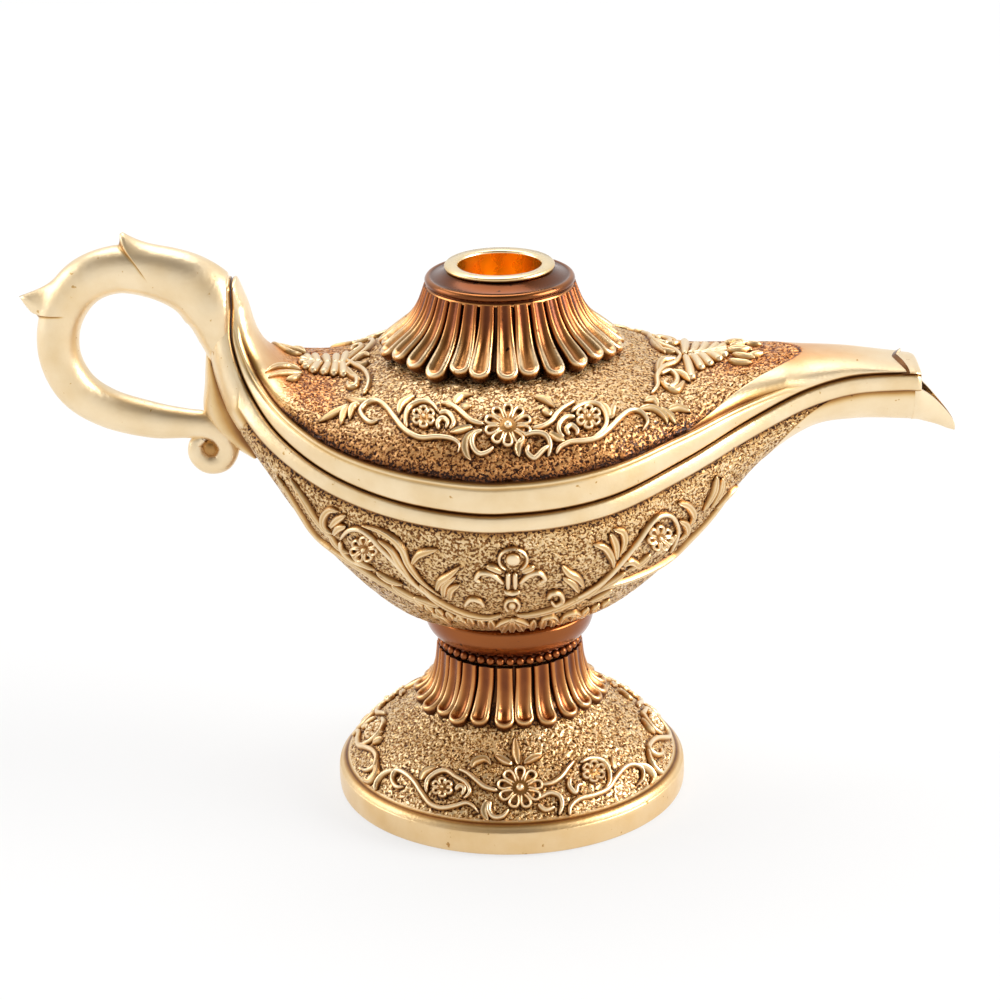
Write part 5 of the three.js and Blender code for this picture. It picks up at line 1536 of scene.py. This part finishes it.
def web_into(skin):
    """The web between the handle and the stern."""
    share = np.linspace(0, 1, WEB_ROWS)
    left = spline(WEB_LEFT, share)
    right = spline(WEB_RIGHT, share)
    bow = np.linspace(-np.pi / 2, np.pi / 2, WEB_COLUMNS)
    middle = right[:, None, :2] + (left - right[:, :2])[:, None] * np.cos(bow)[:, None]
    wide = right[:, 2:] * np.sin(bow)
    web = np.stack([middle[..., 0], wide, middle[..., 1]], -1)
    # Painted shade: the web darkens along its sides, where it runs into the stern
    skin.tube(web, PLAIN_TONE - WEB_EDGE_SHADE * np.abs(np.sin(bow)) ** WEB_POWER)


def handle_skin():
    """Handle: its tube, its web and the eye of its curl."""
    skin = Skin()
    tube_into(skin)
    web_into(skin)
    sphere(skin, (STERN_X + CURL_EYE_X, 0, ARM_Z + CURL_EYE_Z), CURL_EYE_RADIUS, CURL_EYE_TONE, 0.0)
    return skin


# Materials

class Tree:
    """Nodes and links of a material or of the world."""

    def __init__(self, tree):
        self.nodes = tree.nodes
        self.links = tree.links

    def ramp(self, value, stops):
        """A colour ramp through stops, read at a value."""
        node = self.nodes.new("ShaderNodeValToRGB")
        while len(node.color_ramp.elements) < len(stops):
            node.color_ramp.elements.new(0.5)
        for element, (position, colour) in zip(node.color_ramp.elements, stops):
            element.position = position
            element.color = (*colour, 1)
        self.links.new(value, node.inputs["Fac"])
        return node.outputs["Color"]

    def combine(self, operation, first, second):
        """Sum, difference, product or larger one of two sockets, or of a socket and a number."""
        node = self.nodes.new("ShaderNodeMath")
        node.operation = operation
        for socket, value in zip(node.inputs, (first, second)):
            if isinstance(value, float):
                socket.default_value = value
            else:
                self.links.new(value, socket)
        return node.outputs[0]

    def remap(self, value, source, target):
        """A value of one range, taken to another."""
        node = self.nodes.new("ShaderNodeMapRange")
        for name, number in zip(("From Min", "From Max", "To Min", "To Max"), (*source, *target)):
            node.inputs[name].default_value = number
        self.links.new(value, node.inputs["Value"])
        return node.outputs["Result"]

    def attribute(self, name):
        """One of the piece's paint values."""
        node = self.nodes.new("ShaderNodeAttribute")
        node.attribute_name = name
        return node.outputs["Fac"]


class Surface(Tree):
    """A new material with the inputs of its shader."""

    def __init__(self, name, metallic):
        self.material = bpy.data.materials.new(name)
        self.material.use_nodes = True
        super().__init__(self.material.node_tree)
        self.shader = self.nodes["Principled BSDF"].inputs
        self.shader["Metallic"].default_value = metallic
        self.shader["Coat Weight"].default_value = LACQUER * metallic
        self.shader["Coat Roughness"].default_value = LACQUER_ROUGH
        self.place = self.nodes.new("ShaderNodeTexCoord").outputs["Object"]

    def link(self, value, name):
        """Leads a value into an input of the shader."""
        self.links.new(value, self.shader[name])

    def clouds(self, scale, detail):
        """Soft noise over the piece."""
        node = self.nodes.new("ShaderNodeTexNoise")
        node.inputs["Scale"].default_value = scale
        node.inputs["Detail"].default_value = detail
        self.links.new(self.place, node.inputs["Vector"])
        return node.outputs["Fac"]

    def bumped(self, height, strength, distance, before=None):
        """Surface direction from a height, on top of an earlier one."""
        node = self.nodes.new("ShaderNodeBump")
        node.inputs["Strength"].default_value = strength
        node.inputs["Distance"].default_value = distance
        self.links.new(height, node.inputs["Height"])
        if before is not None:
            self.links.new(before, node.inputs["Normal"])
        return node.outputs["Normal"]


def metal(name, metallic, roughness, grain, depth, blotch):
    """Painted cast metal: gold to copper by the piece's paint values, whose tone also carries painted light
    and shade, with pits, specks, grain and wear.
    """
    surface = Surface(name, metallic)
    cloud = surface.clouds(WEAR_SCALE, WEAR_DETAIL)
    pit = surface.remap(surface.clouds(PIT_SCALE, PIT_DETAIL), PIT_LEVELS, (1, 0))
    pit = surface.combine("MULTIPLY", pit, surface.attribute("pits"))
    worn = surface.combine("MULTIPLY", surface.combine("SUBTRACT", cloud, 0.5), blotch)
    level = surface.combine("ADD", surface.attribute("tone"), worn)
    level = surface.combine("SUBTRACT", level, surface.combine("MULTIPLY", pit, PIT_DARK))
    speck = surface.remap(surface.clouds(SPECK_SCALE, SPECK_DETAIL), SPECK_LEVELS, (0, SPECK_DARK))
    level = surface.combine("SUBTRACT", level, speck)
    blend = surface.nodes.new("ShaderNodeMix")
    blend.data_type = "RGBA"
    surface.links.new(surface.attribute("warm"), blend.inputs["Factor"])
    surface.links.new(surface.ramp(level, GOLD), blend.inputs["A"])
    surface.links.new(surface.ramp(level, COPPER), blend.inputs["B"])
    surface.link(blend.outputs["Result"], "Base Color")
    rough = surface.remap(cloud, WEAR_RANGE, (roughness + WEAR_ROUGHER, roughness - WEAR_SMOOTHER))
    surface.link(rough, "Roughness")
    grainy = surface.bumped(surface.clouds(grain, GRAIN_DETAIL), depth, GRAIN_BUMP_DEPTH)
    sunk = surface.combine("MULTIPLY", pit, -1.0)
    surface.link(surface.bumped(sunk, PIT_BUMP, PIT_BUMP_DEPTH, grainy), "Normal")
    return surface.material


def brass():
    """Polished brass of the cup: pale on its flange, a little worn, and orange inside, partly its colour and
    partly a painted reflection of the cup's gold in itself.
    """
    surface = Surface("cup_brass", 1.0)
    cloud = surface.clouds(BRASS_SCALE, BRASS_DETAIL)
    level = surface.combine("ADD", surface.attribute("tone"), surface.combine("MULTIPLY", cloud, BRASS_WEAR))
    surface.link(surface.ramp(level, BRASS), "Base Color")
    surface.link(surface.remap(cloud, WEAR_RANGE, BRASS_ROUGH), "Roughness")
    return surface.material


def hidden(name, low, high, metallic, roughness, grain):
    """Steel or felt of the pieces that stay as the frame has them."""
    surface = Surface(name, metallic)
    surface.shader["Roughness"].default_value = roughness
    cloud = surface.clouds(grain, WEAR_DETAIL)
    surface.link(surface.ramp(cloud, list(zip(HIDDEN_RANGE, (low, high)))), "Base Color")
    surface.link(surface.bumped(cloud, HIDDEN_BUMP, GRAIN_BUMP_DEPTH), "Normal")
    return surface.material


antique_gold = metal("antique_gold", metallic=0.9, roughness=0.36, grain=1500, depth=0.3, blotch=0.3)
pale_gold = metal("pale_gold", metallic=0.9, roughness=0.34, grain=900, depth=0.3, blotch=0.4)
copper_gold = metal("copper_gold", metallic=0.95, roughness=0.28, grain=1200, depth=0.25, blotch=0.3)
copper = metal("copper", metallic=1.0, roughness=0.2, grain=1200, depth=0.1, blotch=0.12)
cup_brass = brass()
steel = hidden("steel", (0.42, 0.42, 0.43), (0.6, 0.6, 0.6), metallic=1.0, roughness=0.35, grain=900)
felt = hidden("felt", (0.012, 0.02, 0.014), (0.03, 0.045, 0.03), metallic=0.0, roughness=0.95, grain=2600)

# Pieces
lid_relief = Relief(panel(True, TRACE_ROWS, TRACE_COLUMNS)[0])
lid_relief.draw(LID_STEMS + LID_SHELL_STEMS, STEM, LID_LEAVES + LID_SHELL_LEAVES, LID_FLOWERS)
for path in LID_SHELL_RIBS:
    lid_relief.lay([np.minimum(lid_relief.hit(pixel), RIB_LIMIT) for pixel in path], RIB)
lid_relief.repeat(MIRROR)
bowl_relief = Relief(panel(False, TRACE_ROWS, TRACE_COLUMNS)[0])
bowl_relief.draw(BOWL_STEMS, STEM, BOWL_LEAVES, BOWL_FLOWERS)
for path in BOWL_VINES:
    bowl_relief.stroke(path, VINE)
garland(bowl_relief)
bowl_relief.repeat(MIRROR)
foot_relief = Relief(turned(foot_profile(), TURN_COLUMNS))
foot_relief.draw(FOOT_STEMS, STEM, FOOT_LEAVES, FOOT_FLOWERS)
foot_relief.repeat(THIRDS)

lid_rim = band_skin(True)
boss_into(lid_rim)
make("lid_panel", panel_skin(True, lid_relief.marks), antique_gold, "lid", "lid")
make("lid_rim", lid_rim, pale_gold, "lid", "lid")
make("lid_ornament", lid_relief.skin, antique_gold, "lid", "lid")
make("lid_petals", crown_skin(), copper_gold, "lid", "lid_crown")
make("lid_collar_ring", collar_skin(), copper, "lid", "lid_collar")
make("cup", cup_skin(), cup_brass, "cup", "cone_cup")
make("bowl_panel", panel_skin(False, bowl_relief.marks), antique_gold, "base", "bowl")
make("bowl_rim", band_skin(False), pale_gold, "base", "bowl")
make("bowl_ornament", bowl_relief.skin, antique_gold, "base", "bowl")
make("spout_mouth", mouth_skin(), pale_gold, "base", "bowl")
make("spout_beak", beak_skin(), pale_gold, "base", "bowl")
make("handle_tube", handle_skin(), pale_gold, "base", "handle")
make("stem_bulge", stem_skin(), copper, "base", "stem_ring")
make("stem_beads", bead_skin(), copper_gold, "base", "bead_ring")
make("foot_petals", skirt_skin(), copper_gold, "base", "foot_petal_skirt")
make("foot_bell", foot_skin(foot_relief.marks), antique_gold, "base", "foot")
make("foot_ornament", foot_relief.skin, antique_gold, "base", "foot")

# Pieces of the frame that stay as they are
for node in ("base_felt", "tie_rod", "upper_washer", "upper_nut", "lower_washer", "lower_nut",
             "handle_dowel_upper", "handle_dowel_lower"):
    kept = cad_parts[node]
    kept.data.materials.clear()
    kept.data.materials.append(felt if node == "base_felt" else steel)

# Floor: white to the eye and in reflections, with the shadow kept
corners = ((-1, -1), (1, -1), (1, 1), (-1, 1))
floor_mesh = bpy.data.meshes.new("floor")
floor_mesh.from_pydata([(x * FLOOR_SIZE, y * FLOOR_SIZE, 0) for x, y in corners], [], [(0, 1, 2, 3)])
floor = bpy.data.objects.new("floor", floor_mesh)
bpy.context.scene.collection.objects.link(floor)
white = bpy.data.materials.new("floor_white")
white.use_nodes = True
white_tree = Tree(white.node_tree)
matt = white_tree.nodes["Principled BSDF"]
matt.inputs["Base Color"].default_value = FLOOR_WHITE
matt.inputs["Roughness"].default_value = FLOOR_ROUGH
glow = white_tree.nodes.new("ShaderNodeEmission")
glow.inputs["Strength"].default_value = 1.0
seen = white_tree.nodes.new("ShaderNodeLightPath").outputs
either = white_tree.combine("MAXIMUM", seen["Is Camera Ray"], seen["Is Glossy Ray"])
either = white_tree.combine("MAXIMUM", either, seen["Is Transmission Ray"])
glow_share = white_tree.combine("MULTIPLY", either, FLOOR_GLOW)
mixed = white_tree.nodes.new("ShaderNodeMixShader")
for socket, source in zip(mixed.inputs, (glow_share, matt.outputs[0], glow.outputs[0])):
    white_tree.links.new(source, socket)
white_tree.links.new(mixed.outputs[0], white_tree.nodes["Material Output"].inputs["Surface"])
floor_mesh.materials.append(white)

# World: a bright room with a darker patch in front, above the viewer
world = bpy.data.worlds.new("studio")
bpy.context.scene.world = world
world.use_nodes = True
world_tree = Tree(world.node_tree)
towards = world_tree.nodes.new("ShaderNodeTexCoord")
facing = world_tree.nodes.new("ShaderNodeVectorMath")
facing.operation = "DOT_PRODUCT"
facing.inputs[1].default_value = DARK_PATCH
world_tree.links.new(towards.outputs["Generated"], facing.inputs[0])
background = world_tree.nodes["Background"]
world_tree.links.new(world_tree.ramp(facing.outputs["Value"], ROOM), background.inputs["Color"])
background.inputs["Strength"].default_value = ROOM_STRENGTH


def lamp(name, at, size, power):
    """A soft square lamp that looks at the object."""
    light = bpy.data.lights.new(name, "AREA")
    light.size = size
    light.energy = power
    holder = bpy.data.objects.new(name, light)
    holder.location = at
    holder.rotation_euler = (Vector(LAMP_TARGET) - Vector(at)).to_track_quat("-Z", "Y").to_euler()
    bpy.context.scene.collection.objects.link(holder)


lamp("top_box", at=(-0.2, 0.6, 1.7), size=1.4, power=16.0)
lamp("right_box", at=(1.8, -0.3, 0.9), size=1.2, power=44.0)
lamp("left_box", at=(-1.8, 0.2, 0.8), size=1.2, power=12.0)

# Camera
lens = bpy.data.cameras.new("camera")
lens.sensor_width = SENSOR
lens.lens = FOCAL_PIXELS / PICTURE * SENSOR
camera = bpy.data.objects.new("camera", lens)
pose = Matrix.Identity(4)
for column, axis in enumerate((ACROSS, ALOFT, -AHEAD)):
    for row in range(3):
        pose[row][column] = axis[row]
for row in range(3):
    pose[row][3] = CAMERA_AT[row] * MM
camera.matrix_world = pose
bpy.context.scene.collection.objects.link(camera)
bpy.context.scene.camera = camera
bpy.context.scene.view_settings.view_transform = "Standard"

bpy.context.view_layer.update()
